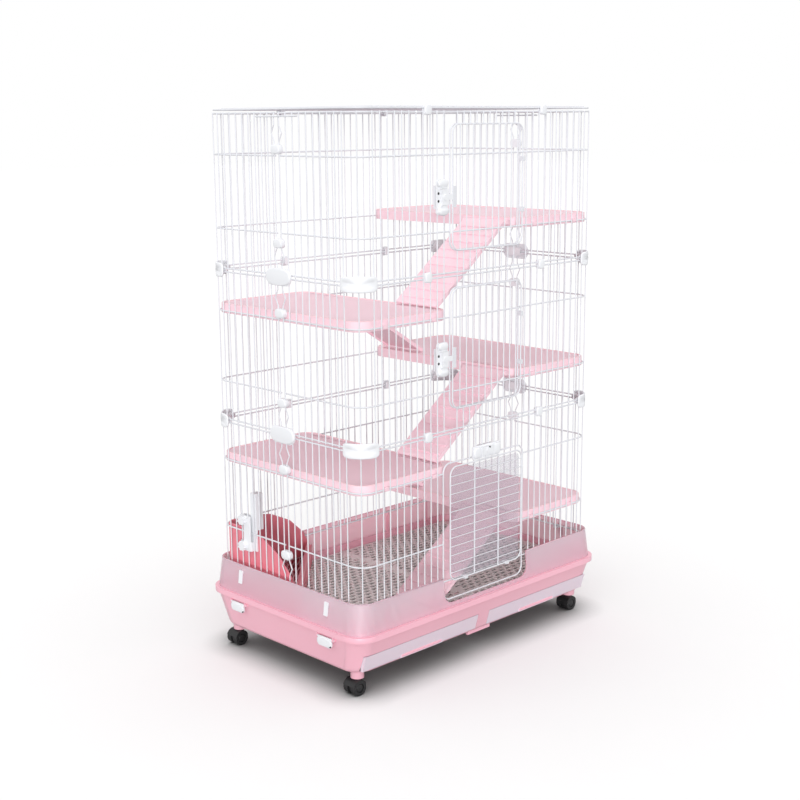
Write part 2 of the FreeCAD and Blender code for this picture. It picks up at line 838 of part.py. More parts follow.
def hinged_door():
    """A wire door hinged on its own right-hand wire, in the front panel's frame."""
    body = new_body("door")
    side_x = front_gap * d.door_gaps / 2
    y = -d.door_out
    low = (-side_x, d.door_low)
    high = (side_x, d.door_high)
    loop_of_wire(body, "frame", "Y", y, low, high, d.door_corner, d.rail_wire)
    rails = [(y, rail_levels[1]), (y, rail_levels[2])]
    rods(body, "rails", "X", rails, d.rail_wire, -side_x, side_x)
    run = front_gap * (d.door_gaps - 2)
    bar = rods(body, "first_bar", "Z", [(-run / 2, y - bar_out)], d.bar_wire, d.door_low, d.door_high)
    row_of(body, "bars", bar, "H", run, d.door_gaps - 1)
    keeper_low = (-side_x, y - rail_r, d.lock_level - d.keeper_height / 2)
    keeper_high = (-side_x + d.keeper_width, y + rail_r, d.lock_level + d.keeper_height / 2)
    block(body, "keeper", "Pad", keeper_low, keeper_high)
    return body


def lower_door():
    """The wire door of the lower tier, hinged on its own bottom wire."""
    body = new_body("lower_door_wires")
    half = d.lower_door_width / 2
    y = -d.door_out
    bottom = d.rail_end
    top = bottom + d.lower_door_height
    loop_of_wire(body, "frame", "Y", y, (-half, bottom), (half, top), d.door_corner, d.rail_wire)
    posts = [(-d.lower_post_spacing / 2, y), (d.lower_post_spacing / 2, y)]
    rods(body, "posts", "Z", posts, d.rail_wire, bottom, top)
    rung_y = y - rail_r - d.lower_rung_wire / 2 + d.weld_bite
    lowest = [(rung_y, bottom + d.lower_rung_pitch)]
    rung = rods(body, "first_rung", "X", lowest, d.lower_rung_wire, -half, half)
    row_of(body, "rungs", rung, "V", d.lower_rung_pitch * (d.lower_door_rungs - 1), d.lower_door_rungs)
    return body


def lower_sheet():
    """The clear sheet behind the wires of the lower door."""
    body = new_body("sheet")
    half = d.lower_door_width / 2 - d.sheet_margin
    back = -d.door_out + rail_r + d.rest_gap
    low = (-half, d.rail_end + d.sheet_margin)
    high = (half, d.rail_end + d.lower_door_height - d.sheet_margin)
    corner = d.door_corner - d.sheet_margin
    stop = back + d.sheet_thickness
    prism(body, "plate", "Pad", "Y", back, stop, lambda sketch: draw_rounded(sketch, low, high, corner))
    return body


def lock_bracket():
    """A side lock's fixed half: a plate outside the bars, guide rails, and a clamp plate inside the bars."""
    body = new_body("side_lock")
    width = d.lock_width
    height = d.lock_height
    side_of_dots = -1
    face = -bar_face - d.seat_gap
    front = face - d.lock_plate
    back = -bar_out + bar_r + d.seat_gap
    corner = d.lock_plate * 2

    def outline(sketch):
        draw_rounded(sketch, (-width / 2, -height / 2), (width / 2, height / 2), corner)

    prism(body, "plate", "Pad", "Y", front, face, outline)
    web_half = d.lock_web / 2
    clamp_half = d.lock_clamp_height / 2
    web_low = (-web_half, face - d.lock_plate / 2, -clamp_half)
    block(body, "web", "Pad", web_low, (web_half, back + d.lock_plate / 2, clamp_half))
    clamp_high = (width / 2, back + d.lock_plate, clamp_half)
    block(body, "clamp", "Pad", (-width / 2, back, -clamp_half), clamp_high)
    slide_front = front - d.seat_gap - d.lock_slide_depth
    for part, side in (("low", -1), ("high", 1)):
        inner = (d.lock_slide_height / 2 + d.slide_gap) * side
        outer = inner + d.lock_rail * side
        bottom, top = sorted((inner, outer), key=number_of)
        rail_low = (-d.lock_slide_width / 2, slide_front, bottom)
        rail_high = (d.lock_slide_width / 2, front + d.lock_plate / 2, top)
        block(body, f"{part}_rail", "Pad", rail_low, rail_high)
    dot_x = width / 4 * side_of_dots
    dots = [(dot_x, d.lock_dot_inset - height / 2), (dot_x, height / 2 - d.lock_dot_inset)]
    rods(body, "dots", "Y", dots, d.lock_dot, front, front + d.lock_plate / 2, kind="Pocket")
    return body


def lock_slide(tongue_length):
    """A side lock's thumb slide with its tongue towards +X and a round grip."""
    body = new_body("side_slide")
    length = d.lock_slide_width
    height = d.lock_slide_height
    tongue_half = d.lock_tongue_width / 2
    back = -bar_face - d.seat_gap * 2 - d.lock_plate
    front = back - d.lock_slide_depth
    block(body, "block", "Pad", (-length / 2, front, -height / 2), (length / 2, back, height / 2))
    tongue_low = (length / 2, front + d.lock_slide_depth / 2, -tongue_half)
    block(body, "tongue", "Pad", tongue_low, (length / 2 + tongue_length, back, tongue_half))
    rods(body, "grip", "Y", [(0.0, 0.0)], d.lock_grip, front - d.lock_plate / 2, front)
    return body


def build_doors():
    """The three doors with their locks."""
    door = hinged_door()
    side_x = front_gap * d.door_gaps / 2
    tongue_end = -side_x - rail_r - d.seat_gap
    bracket_x = -front_gap * (d.door_gaps + 2) / 2 - front_gap / 2
    bracket = lock_bracket()
    slide_x = bracket_x + d.lock_tongue / 2
    side_reach = tongue_end - slide_x - d.lock_slide_width / 2
    slide = lock_slide(side_reach)
    for tier, level in list(zip(TIERS, tier_levels))[1:]:
        lock_z = level + d.lock_level
        add_node(f"door_{tier}", copy_of(f"door_{tier}_copy", door, 0.0, -half_depth, level))
        add_node(f"door_lock_{tier}", copy_of(f"lock_{tier}", bracket, bracket_x, -half_depth, lock_z))
        add_node(f"lock_slide_{tier}", copy_of(f"slide_{tier}", slide, slide_x, -half_depth, lock_z))
    lower = copy_of("door_lower_copy", lower_door(), 0.0, -half_depth, d.tower_base)
    add_node("door_lower", lower)
    sheet_copy = copy_of("sheet_lower_copy", lower_sheet(), 0.0, -half_depth, d.tower_base)
    add_node("door_lower_sheet", sheet_copy)
    build_lower_lock()


def build_lower_lock():
    """The lock above the lower door, whose slide moves up."""
    body = new_body("lower_lock")
    face = -bar_face - d.seat_gap
    front = face - d.lock_plate
    back = -bar_out + bar_r + d.seat_gap
    half = d.lower_lock_width / 2
    bottom = d.rail_end + d.lower_door_height + rail_r + d.seat_gap * 4
    top = bottom + d.lower_lock_height
    clamp_bottom = d.lower_frame_high + rail_r + d.seat_gap
    corner = d.lock_plate * 2

    def outline(sketch):
        draw_rounded(sketch, (-half, bottom), (half, top), corner)

    prism(body, "plate", "Pad", "Y", front, face, outline)
    web_half = d.lock_web / 2
    clamp_half = d.lower_clamp_width / 2
    web_low = (-web_half, face - d.lock_plate / 2, clamp_bottom)
    block(body, "web", "Pad", web_low, (web_half, back + d.lock_plate / 2, top))
    block(body, "clamp", "Pad", (-clamp_half, back, clamp_bottom), (clamp_half, back + d.lock_plate, top))
    slide_front = front - d.seat_gap - d.lock_slide_depth
    slide_half = d.lock_slide_height / 2
    for part, side in (("left", -1), ("right", 1)):
        ends = ((slide_half + d.slide_gap) * side, (slide_half + d.slide_gap + d.lock_rail) * side)
        low_x, high_x = sorted(ends, key=number_of)
        low = (low_x, slide_front, bottom + d.lock_plate)
        block(body, f"{part}_rail", "Pad", low, (high_x, front + d.lock_plate / 2, top - d.lock_plate))
    dot = [(half - d.lower_dot_inset, top - d.lock_dot_inset)]
    rods(body, "dot", "Y", dot, d.lock_dot, front, front + d.lock_plate / 2, kind="Pocket")
    add_node("door_lock_lower", place(body, 0.0, -half_depth, d.tower_base))

    slide = new_body("lower_slide")
    slide_back = front - d.seat_gap
    slide_bottom = bottom + d.lock_tongue
    slide_top = slide_bottom + d.lock_slide_width
    slide_low = (-slide_half, slide_front, slide_bottom)
    block(slide, "block", "Pad", slide_low, (slide_half, slide_back, slide_top))
    tongue_bottom = d.rail_end + d.lower_door_height + rail_r + d.seat_gap
    tongue_front = slide_front + d.lock_slide_depth / 2
    tongue_half = d.lock_tongue_width / 2
    tongue_low = (-tongue_half, tongue_front, tongue_bottom)
    block(slide, "tongue", "Pad", tongue_low, (tongue_half, slide_back, slide_bottom))
    grip = [(0.0, (slide_bottom + slide_top) / 2)]
    rods(slide, "grip", "Y", grip, d.lock_grip, slide_front - d.lock_plate / 2, slide_front)
    add_node("lock_slide_lower", place(slide, 0.0, -half_depth, d.tower_base))


# Base, guard and floor


def base_half(level, low, high):
    """Half the outer size of the base's tapered wall at a level."""
    share = (level - d.base_bottom) / (d.rim_bottom - d.base_bottom)
    return low / 2 + (high - low) / 2 * share


def base_half_x(level):
    """Half the base's outer width at a level."""
    return base_half(level, d.base_low_width, d.base_top_width)


def base_half_y(level):
    """Half the base's outer depth at a level."""
    return base_half(level, d.base_low_depth, d.base_top_depth)


floor_level = d.base_bottom + d.base_wall
ledge_top = d.grid_top - d.grid_thickness


def wall_section(level, inset):
    """The base's rounded outline at a level, set in from its outer face."""
    return (base_half_x(level) - inset, base_half_y(level) - inset, d.base_corner - inset, level)


def base_shell(body):
    """The tapered wall, rim, bottom plate and ledge of the base."""
    chamfer_top = d.base_bottom + d.base_chamfer
    low = wall_section(d.base_bottom, d.base_chamfer / 2)
    loft(body, "chamfer", "AdditiveLoft", [low, wall_section(chamfer_top, 0.0)])
    loft(body, "wall", "AdditiveLoft", [wall_section(chamfer_top, 0.0), wall_section(d.rim_bottom, 0.0)])
    half_x = d.rim_width / 2
    half_y = d.rim_depth / 2

    def rim_outline(sketch):
        draw_rounded(sketch, (-half_x, -half_y), (half_x, half_y), d.rim_corner)

    prism(body, "rim", "Pad", "Z", d.rim_bottom, d.rim_top, rim_outline)
    cavity = [wall_section(floor_level, d.base_wall * 1.5), wall_section(d.rim_bottom, d.base_wall)]
    loft(body, "cavity", "SubtractiveLoft", cavity)
    top_x, top_y, corner, _ = wall_section(d.rim_bottom, d.base_wall)

    def mouth(sketch):
        draw_rounded(sketch, (-top_x, -top_y), (top_x, top_y), corner)

    prism(body, "mouth", "Pocket", "Z", d.rim_bottom, d.rim_top, mouth)
    outer = wall_section(ledge_top, d.base_wall / 2)
    inner = wall_section(ledge_top, d.ledge_width)

    def ledge(sketch):
        for edge_x, edge_y, edge_corner, _ in (outer, inner):
            draw_rounded(sketch, (-edge_x, -edge_y), (edge_x, edge_y), edge_corner)

    prism(body, "ledge", "Pad", "Z", ledge_top - d.base_wall, ledge_top, ledge)


def base_tray():
    """The pink base: shell, divider, drawer openings, caster bosses, latch lugs and foot tab."""
    body = new_body("base")
    base_shell(body)
    half = d.divider_width / 2
    front = -base_half_y(floor_level) + d.base_wall
    back = base_half_y(floor_level) - d.base_wall
    block(body, "divider", "Pad", (-half, front, floor_level), (half, back, ledge_top))
    hollow = half - d.base_wall
    hollow_low = (-hollow, front + d.base_wall, d.base_bottom)
    hollow_high = (hollow, back - d.base_wall, ledge_top - d.base_wall)
    block(body, "divider_hollow", "Pocket", hollow_low, hollow_high)
    inner_front = -base_half_y(d.base_bottom) + d.base_corner / 2
    for name, side in (("left", -1), ("right", 1)):
        edges = (half * side, (d.drawer_outer + d.drawer_gap) * side)
        low_x, high_x = sorted(edges, key=number_of)
        low = (low_x, -d.rim_depth / 2, floor_level)
        high = (high_x, inner_front, d.drawer_front_high + d.drawer_gap)
        block(body, f"{name}_drawer_opening", "Pocket", low, high)
    tab = d.foot_tab_width / 2
    tab_front = -base_half_y(d.base_bottom) + d.base_chamfer
    tab_low = (-tab, tab_front, d.base_bottom - d.foot_tab_drop)
    block(body, "foot_tab", "Pad", tab_low, (tab, tab_front + d.base_wall * 2, floor_level))
    places = [(x * sx, y * sy) for x, y in [(d.caster_x, d.caster_y)] for sx in (-1, 1) for sy in (-1, 1)]
    rods(body, "bosses", "Z", places, d.boss_width, d.boss_bottom, floor_level)
    bore = d.stem_diameter + d.running_gap * 2
    rods(body, "stem_bores", "Z", places, bore, d.boss_bottom, d.base_bottom, kind="Pocket")
    latch_lugs(body)
    return body


def latch_lugs(body):
    """Pairs of lugs on the short walls, bored for the pins of the base latches."""
    inner = d.latch_width / 2 + d.slide_gap
    outer = inner + d.lug_thickness
    wall = base_half_x(d.latch_pivot_z) - d.base_wall / 2
    reach = d.latch_pivot_out + d.latch_barrel / 2
    bottom = d.latch_pivot_z - d.latch_barrel / 2
    bore = d.latch_pin + d.running_gap * 2
    for x_name, x_side in (("left", -1), ("right", 1)):
        for y_name, y_side in (("front", -1), ("back", 1)):
            for part, side in (("near", -1), ("far", 1)):
                name = f"{x_name}_{y_name}_{part}"
                middle = d.latch_y * y_side
                ends = sorted((middle + inner * side, middle + outer * side), key=number_of)
                low_x, high_x = sorted((wall * x_side, reach * x_side), key=number_of)
                low = (low_x, ends[0], bottom)
                block(body, f"{name}_lug", "Pad", low, (high_x, ends[1], d.rim_bottom))
                centre = [(d.latch_pivot_out * x_side, d.latch_pivot_z)]
                rods(body, f"{name}_lug_bore", "Y", centre, bore, ends[0], ends[1], kind="Pocket")


def base_latch():
    """A latch plate that hangs from its barrel, with a pin at each end, for the right-hand wall."""
    body = new_body("latch")
    half = d.latch_width / 2
    pin_reach = half + d.slide_gap + d.lug_thickness
    rods(body, "barrel", "Y", [(0.0, 0.0)], d.latch_barrel, -half, half)
    rods(body, "pins", "Y", [(0.0, 0.0)], d.latch_pin, -pin_reach, pin_reach)
    bottom = d.latch_barrel / 2 - d.latch_height
    face = d.latch_barrel / 2
    low = (-half, bottom)
    high = (half, 0.0)
    start = face - d.latch_thickness

    def outline(sketch):
        draw_rounded(sketch, low, high, d.latch_corner)

    prism(body, "plate", "Pad", "X", start, face, outline)
    return body


def guard_half(level, low, high):
    """Half the outer size of the guard's wall at a level."""
    share = (level - d.rim_top) / (d.guard_top - d.rim_top)
    return low / 2 + (high - low) / 2 * share


def guard_section(level, inset):
    """The guard's rounded outline at a level, set in from its outer face."""
    half_x = guard_half(level, d.guard_low_width, d.guard_top_width) - inset
    half_y = guard_half(level, d.guard_low_depth, d.guard_top_depth) - inset
    return (half_x, half_y, d.guard_corner - inset, level)


rest_level = d.tower_base + d.rail_end - rail_r - d.rest_gap
tab_y = d.fold_gap / 2 + side_gap * d.tab_gaps


def guard_ring():
    """The milky guard that stands on the rim, notched for the lower door, with ribs for the tower."""
    body = new_body("guard")
    loft(body, "wall", "AdditiveLoft", [guard_section(d.rim_top, 0.0), guard_section(d.guard_top, 0.0)])
    inside = [guard_section(d.rim_top, d.guard_wall), guard_section(d.guard_top, d.guard_wall)]
    loft(body, "inside", "SubtractiveLoft", inside)
    front = -d.guard_low_depth / 2
    half = d.notch_width / 2

    def notch(sketch):
        above = d.guard_top + d.notch_corner * 2
        draw_rounded(sketch, (-half, d.notch_bottom), (half, above), d.notch_corner)

    prism(body, "notch", "Pocket", "Y", front, -half_depth, notch)
    for side_name, y_side in (("front", -1), ("back", 1)):
        wall = (guard_section(d.guard_top, d.guard_wall)[1] + d.guard_wall / 2) * y_side
        inner = (half_depth - rail_r) * y_side
        low_y, high_y = sorted((wall, inner), key=number_of)
        for index, gaps in enumerate(RIB_GAPS):
            middle = front_gap * gaps
            low = (middle - d.guard_rib / 2, low_y, d.rim_top)
            high = (middle + d.guard_rib / 2, high_y, rest_level)
            block(body, f"{side_name}_rib_{index}", "Pad", low, high)
    slot_half = d.tab_width / 2 + d.seat_gap
    slot_low = rest_level - d.tab_stub - d.seat_gap
    for side_name, x_side in (("left", -1), ("right", 1)):
        low_x, high_x = sorted((half_width * x_side, d.guard_low_width / 2 * x_side), key=number_of)
        for row_name, y_side in (("front", -1), ("back", 1)):
            low = (low_x, tab_y * y_side - slot_half, slot_low)
            high = (high_x, tab_y * y_side + slot_half, rest_level + d.seat_gap)
            block(body, f"{side_name}_{row_name}_slot", "Pocket", low, high)
    return body


def guard_tab():
    """A tab outside the guard, whose stub passes a slot and carries the tower's bottom rail (+X side)."""
    body = new_body("tab")
    slope = (d.guard_low_width - d.guard_top_width) / 2 / (d.guard_top - d.rim_top)
    top = rest_level + d.seat_gap * 2
    bottom = top - d.tab_height
    face_top = guard_section(top, 0.0)[0] + d.seat_gap
    face_bottom = face_top + slope * d.tab_height
    half = d.tab_width / 2
    strip = [
        (face_top, top),
        (face_bottom, bottom),
        (face_bottom + d.tab_thickness, bottom),
        (face_top + d.tab_thickness, top),
    ]
    prism(body, "strip", "Pad", "Y", -half, half, lambda sketch: draw_path(sketch, strip))
    stub_low = (half_width - rail_r, -half, rest_level - d.tab_stub)
    block(body, "stub", "Pad", stub_low, (face_top + d.tab_thickness / 2, half, rest_level))
    return body


def holed_plate(outline, holes, thickness, level):
    """A flat plate with an outline and many holes, each a list of plain number points."""
    wires = []
    for points in [outline] + [hole[::-1] for hole in holes]:
        corners = [Vector(x, y, level) for x, y in points]
        wires.append(Part.makePolygon(corners + corners[:1]))
    return Part.Face(wires).extrude(Vector(0, 0, thickness))


def rectangle(x0, y0, x1, y1):
    """The corner points of a rectangle, in order round it."""
    return [(x0, y0), (x1, y0), (x1, y1), (x0, y1)]


def staggered(low_x, low_y, high_x, high_y):
    """Rows of slots inside a rectangle, every other row set over by half a pitch."""
    holes = []
    length, width = d.slot_length.number, d.slot_width.number
    pitch_x, pitch_y = d.slot_pitch_x.number, d.slot_pitch_y.number
    rows = int((high_y - low_y - width) // pitch_y) + 1
    start_y = (low_y + high_y - (rows - 1) * pitch_y - width) / 2
    for row in range(rows):
        shift = pitch_x / 2 if row % 2 else 0.0
        count = int((high_x - low_x - shift - length) // pitch_x) + 1
        for column in range(count):
            x = low_x + shift + column * pitch_x
            y = start_y + row * pitch_y
            holes.append(rectangle(x, y, x + length, y + width))
    return holes


def floor_plate():
    """The right-hand lattice plate, on the base's ledge and divider, with its outer corners cut off."""
    half_x, half_y, _, _ = wall_section(ledge_top, d.base_wall * 1.5 + d.slide_gap)
    inner = d.slide_gap.number / 2
    outer = half_x.number
    side = half_y.number
    cut = d.grid_corner.number
    margin = d.grid_margin.number
    outline = [
        (inner, -side),
        (outer - cut, -side),
        (outer, cut - side),
        (outer, side - cut),
        (outer - cut, side),
        (inner, side),
    ]
    limit = outer + side - cut - margin * math.sqrt(2)
    slots = staggered(inner + margin, margin - side, outer - margin, side - margin)
    holes = [slot for slot in slots if max(x + abs(y) for x, y in slot) < limit]
    feature = doc.addObject("Part::Feature", "floor_plate")
    feature.Shape = holed_plate(outline, holes, d.grid_thickness.number, ledge_top.number)
    return feature


def floor_grid():
    """Two like lattice plates side by side."""
    plate = floor_plate()
    right = copy_of("right_floor_plate", plate)
    left = copy_of("left_floor_plate", plate, turn=180)
    return group("floor_plates", [right, left])


def drawer():
    """The right-hand drawer: an open tray behind a front that follows the base's slope."""
    body = new_body("drawer")
    inner = d.divider_width / 2 + d.drawer_gap
    bottom = floor_level + d.seat_gap
    tray_top = d.drawer_front_high - d.drawer_gap * 2
    front_in = -base_half_y(d.base_bottom) + d.drawer_front
    wall = d.drawer_wall

    def plan(sketch):
        draw_rounded(sketch, (inner, front_in), (d.drawer_outer, d.drawer_back), d.drawer_corner)

    def inside(sketch):
        low = (inner + wall, front_in + wall)
        high = (d.drawer_outer - wall, d.drawer_back - wall)
        draw_rounded(sketch, low, high, d.drawer_corner - wall)

    prism(body, "tray", "Pad", "Z", bottom, tray_top, plan)
    prism(body, "hollow", "Pocket", "Z", bottom + wall, tray_top, inside)
    low_y = -base_half_y(d.drawer_front_low)
    high_y = -base_half_y(d.drawer_front_high)
    profile = [
        (low_y, d.drawer_front_low),
        (front_in + wall / 2, d.drawer_front_low),
        (front_in + wall / 2, tray_top),
        (high_y + d.drawer_front, d.drawer_front_high),
        (high_y, d.drawer_front_high),
    ]
    prism(body, "front", "Pad", "X", inner, d.drawer_outer, lambda sketch: draw_path(sketch, profile))
    middle = (inner + d.drawer_outer) / 2
    lip_top = d.drawer_front_low + d.drawer_lip_height
    lip = [
        (low_y - d.drawer_lip_out, d.drawer_front_low),
        (low_y + wall, d.drawer_front_low),
        (low_y + wall, lip_top),
        (-base_half_y(lip_top), lip_top),
    ]
    half = d.drawer_lip_width / 2
    prism(body, "lip", "Pad", "X", middle - half, middle + half, lambda sketch: draw_path(sketch, lip))
    return body


def left_drawer():
    """The left-hand drawer, the right one seen in a mirror."""
    mirror = doc.addObject("Part::Mirroring", "left_drawer")
    mirror.Normal = Vector(1, 0, 0)
    return mirror


def build_base():
    """Base, guard, floor lattice, drawers and latches."""
    add_node("base_tray", base_tray())
    add_node("guard_ring", guard_ring())
    add_node("floor_grid", floor_grid())
    tab = guard_tab()
    tabs = []
    for name, turn in (("right", 0), ("left", 180)):
        for row, side in (("front", -1), ("back", 1)):
            tabs.append(copy_of(f"tab_{name}_{row}", tab, 0.0, tab_y * side, 0.0, turn))
    add_node("guard_tabs", group("tab_set", tabs))
    right = drawer()
    add_node("drawer_right", right)
    left = left_drawer()
    left.Source = right
    add_node("drawer_left", left)
    latch = base_latch()
    for name, x_side, turn in (("right", 1, 0), ("left", -1, 180)):
        for row, y_side in (("front", -1), ("back", 1)):
            x = d.latch_pivot_out * x_side
            copy = copy_of(f"latch_{name}_{row}", latch, x, d.latch_y * y_side, d.latch_pivot_z, turn)
            add_node(f"base_latch_{name}_{row}", copy)


# Casters


def caster_housing():
    """A caster's housing round its swivel axis: fin, hood, collar and stem."""
    axle = (-d.caster_trail, d.wheel_diameter / 2)
    top = d.boss_bottom - d.seat_gap
    half_fin = d.fin_width / 2
    hood_half = half_fin + d.slide_gap + d.wheel_width
    body = new_body("housing")
    rods(body, "hood", "Y", [axle], d.hood_diameter, -hood_half, hood_half)
    rods(body, "wheel_room", "Y", [axle], d.hood_diameter - d.hood_wall * 2, -hood_half, hood_half, "Pocket")
    low = (-d.wheel_diameter * 2, -d.wheel_diameter, -d.wheel_diameter)
    high = (d.wheel_diameter, d.wheel_diameter, axle[1] + d.axle_diameter)
    block(body, "hood_cut", "Pocket", low, high)
    rods(body, "fin", "Y", [axle], d.fin_diameter, -half_fin, half_fin)
    block(body, "neck", "Pad", (-d.stem_collar / 2, -half_fin, axle[1]), (d.stem_collar / 2, half_fin, top))
    rods(body, "stem", "Z", [(0.0, 0.0)], d.stem_diameter, axle[1], d.base_bottom - d.seat_gap)
    bore = d.axle_diameter + d.running_gap * 2
    rods(body, "axle_bore", "Y", [axle], bore, -half_fin, half_fin, kind="Pocket")
    return body


def caster_wheels():
    """Two wheels on one axle, beside the fin."""
    body = new_body("wheels")
    axle = (-d.caster_trail, d.wheel_diameter / 2)
    inner = d.fin_width / 2 + d.slide_gap
    outer = inner + d.wheel_width
    rods(body, "left_wheel", "Y", [axle], d.wheel_diameter, -outer, -inner)
    rods(body, "right_wheel", "Y", [axle], d.wheel_diameter, inner, outer)
    rods(body, "axle", "Y", [axle], d.axle_diameter, -outer, outer)
    floor = outer - d.wheel_recess_depth
    rods(body, "left_recess", "Y", [axle], d.wheel_recess, -outer, -floor, kind="Pocket")
    rods(body, "right_recess", "Y", [axle], d.wheel_recess, floor, outer, kind="Pocket")
    return body


def build_casters():
    """Four casters under the corners of the base."""
    housing = caster_housing()
    wheels = caster_wheels()
    for x_name, x_side in (("left", -1), ("right", 1)):
        for y_name, y_side in (("front", -1), ("back", 1)):
            place_name = f"{x_name}_{y_name}"
            x = d.caster_x * x_side
            y = d.caster_y * y_side
            add_node(f"caster_housing_{place_name}", copy_of(f"housing_{place_name}", housing, x, y))
            add_node(f"caster_wheels_{place_name}", copy_of(f"wheels_{place_name}", wheels, x, y))


# Shelves and ramps


def shelf():
    """A right-hand shelf with its top at the origin's level: plate, lip, hooks, slots and ramp lugs."""
    body = new_body("shelf")
    reach_x = half_width - rail_r - d.shelf_gap
    reach_y = half_depth - rail_r - d.shelf_gap
    corner = d.bend_radius - rail_r - d.shelf_gap
    low = (d.shelf_inner, -reach_y)
    high = (reach_x, reach_y)
    wall = d.shelf_plate

    def plan(sketch):
        draw_rounded(sketch, low, high, corner)

    prism(body, "slab", "Pad", "Z", -d.shelf_lip, 0.0, plan)
    in_low = (d.shelf_inner + wall, -reach_y + wall)
    in_high = (reach_x - wall, reach_y - wall)

    def underside(sketch):
        draw_rounded(sketch, in_low, in_high, corner - wall)

    prism(body, "underside", "Pocket", "Z", -d.shelf_lip, -wall, underside)
    slot_x = d.shelf_inner + d.shelf_slot_inset
    rail_top = rail_r + d.rest_gap - d.shelf_above_rail
    for row, y_side in (("front", -1), ("back", 1)):
        half = d.shelf_slot_length / 2
        middle = d.ramp_y * y_side
        slot_low = (slot_x, middle - half, -wall)
        block(body, f"{row}_slot", "Pocket", slot_low, (slot_x + d.shelf_slot_width, middle + half, 0.0))
        for part, gaps in HOOK_GAPS.items():
            x = front_gap * gaps
            start, stop = x - d.hook_width / 2, x + d.hook_width / 2
            root = (reach_y - wall / 2) * y_side
            tip = (half_depth + bar_face) * y_side
            finger = (half_depth + rail_r + d.seat_gap) * y_side
            low_y, high_y = sorted((root, tip), key=number_of)
            arm_high = (stop, high_y, rail_top + d.hook_height)
            block(body, f"{row}_{part}_hook", "Pad", (start, low_y, rail_top), arm_high)
            low_y, high_y = sorted((finger, tip), key=number_of)
            finger_low = (start, low_y, rail_top - d.hook_drop)
            block(body, f"{row}_{part}_finger", "Pad", finger_low, (stop, high_y, rail_top + d.hook_height))
    ramp_lugs(body)
    return body


def ramp_lugs(body):
    """Two lugs on the shelf's inner edge, bored for the ramp's pins."""
    inner = d.ramp_width / 2 + d.slide_gap
    outer = inner + d.lug_thickness
    centre_x = d.shelf_inner - d.ramp_pivot_out
    radius = d.ramp_barrel / 2
    bore = d.ramp_pin + d.running_gap * 2
    for part, side in (("near", -1), ("far", 1)):
        edges = (-d.ramp_y + inner * side, -d.ramp_y + outer * side)
        low_y, high_y = sorted(edges, key=number_of)
        low = (centre_x, low_y, -d.ramp_pivot_drop - radius)
        high = (d.shelf_inner + d.shelf_plate / 2, high_y, -d.ramp_pivot_drop + radius)
        block(body, f"{part}_lug", "Pad", low, high)
        centre = [(centre_x, -d.ramp_pivot_drop)]
        rods(body, f"{part}_lug_end", "Y", centre, d.ramp_barrel, low_y, high_y)
        rods(body, f"{part}_lug_bore", "Y", centre, bore, low_y, high_y, kind="Pocket")


def ramp():
    """A ramp that leaves its pivot along -X: plate, side flanges, treads, barrel and pins."""
    body = new_body("ramp")
    half = d.ramp_width / 2
    top = d.ramp_barrel / 2
    bottom = top - d.ramp_plate
    block(body, "plate", "Pad", (-d.ramp_length, -half, bottom), (0.0, half, top))
    for name, side in (("near", -1), ("far", 1)):
        low_y, high_y = sorted((half * side, (half - d.ramp_flange_wall) * side), key=number_of)
        flange_top = top - d.ramp_plate / 2
        low = (-d.ramp_length, low_y, top - d.ramp_flange)
        block(body, f"{name}_flange", "Pad", low, (0.0, high_y, flange_top))
    tread_half = half - d.ramp_flange_wall * 2
    first = -d.ramp_tread_pitch - d.ramp_tread_width / 2
    run = d.ramp_tread_pitch * (d.ramp_treads - 1)
    start = first - run
    tread_low = (start, -tread_half, top - d.ramp_plate / 2)
    tread_high = (start + d.ramp_tread_width, tread_half, top + d.ramp_tread_height)
    tread = block(body, "tread", "Pad", tread_low, tread_high)
    row_of(body, "treads", tread, "H", run, d.ramp_treads)
    rods(body, "barrel", "Y", [(0.0, 0.0)], d.ramp_barrel, -half, half)
    reach = half + d.slide_gap + d.lug_thickness
    rods(body, "pins", "Y", [(0.0, 0.0)], d.ramp_pin, -reach, reach)
    return body


SHELVES = (
    # Name, tier of the carrying rail, whether it is the tier's high rail, and side
    ("first", 0, False, "right"),
    ("second", 0, True, "left"),
    ("third", 1, False, "right"),
    ("fourth", 1, True, "left"),
    ("fifth", 2, False, "right"),
)


def shelf_top(tier, high):
    """The level of a shelf's top, above the rail that carries it."""
    rail = rail_levels[2] if high else rail_levels[1]
    return tier_levels[tier] + rail + d.shelf_above_rail


def build_shelves():
    """Five like shelves on alternate sides, each with a ramp down to what lies below."""
    right_shelf = shelf()
    right_ramp = ramp()
    left_ramp = copy_of("left_ramp", right_ramp, turn=180)
    below = d.grid_top
    for name, tier, high, side in SHELVES:
        top = shelf_top(tier, high)
        on_right = side == "right"
        half_turn = 0 if on_right else 180
        add_node(f"shelf_{name}", copy_of(f"shelf_{name}_copy", right_shelf, z=top, turn=half_turn))
        pivot_x = d.shelf_inner - d.ramp_pivot_out
        pivot_z = top - d.ramp_pivot_drop
        drop = pivot_z - below - d.ramp_foot_gap
        slope = ramp_slope(drop)
        link = doc.addObject("App::Link", f"ramp_{name}_copy")
        link.LinkedObject = right_ramp if on_right else left_ramp
        link.LinkTransform = True
        link.Placement = Placement(Vector(), Rotation(Vector(0, -1 if on_right else 1, 0), slope.number))
        bind(link, "Placement.Rotation.Angle", slope)
        turn = 1 if on_right else -1
        place(link, pivot_x * turn, -d.ramp_y * turn, pivot_z)
        add_node(f"ramp_{name}", link)
        below = top


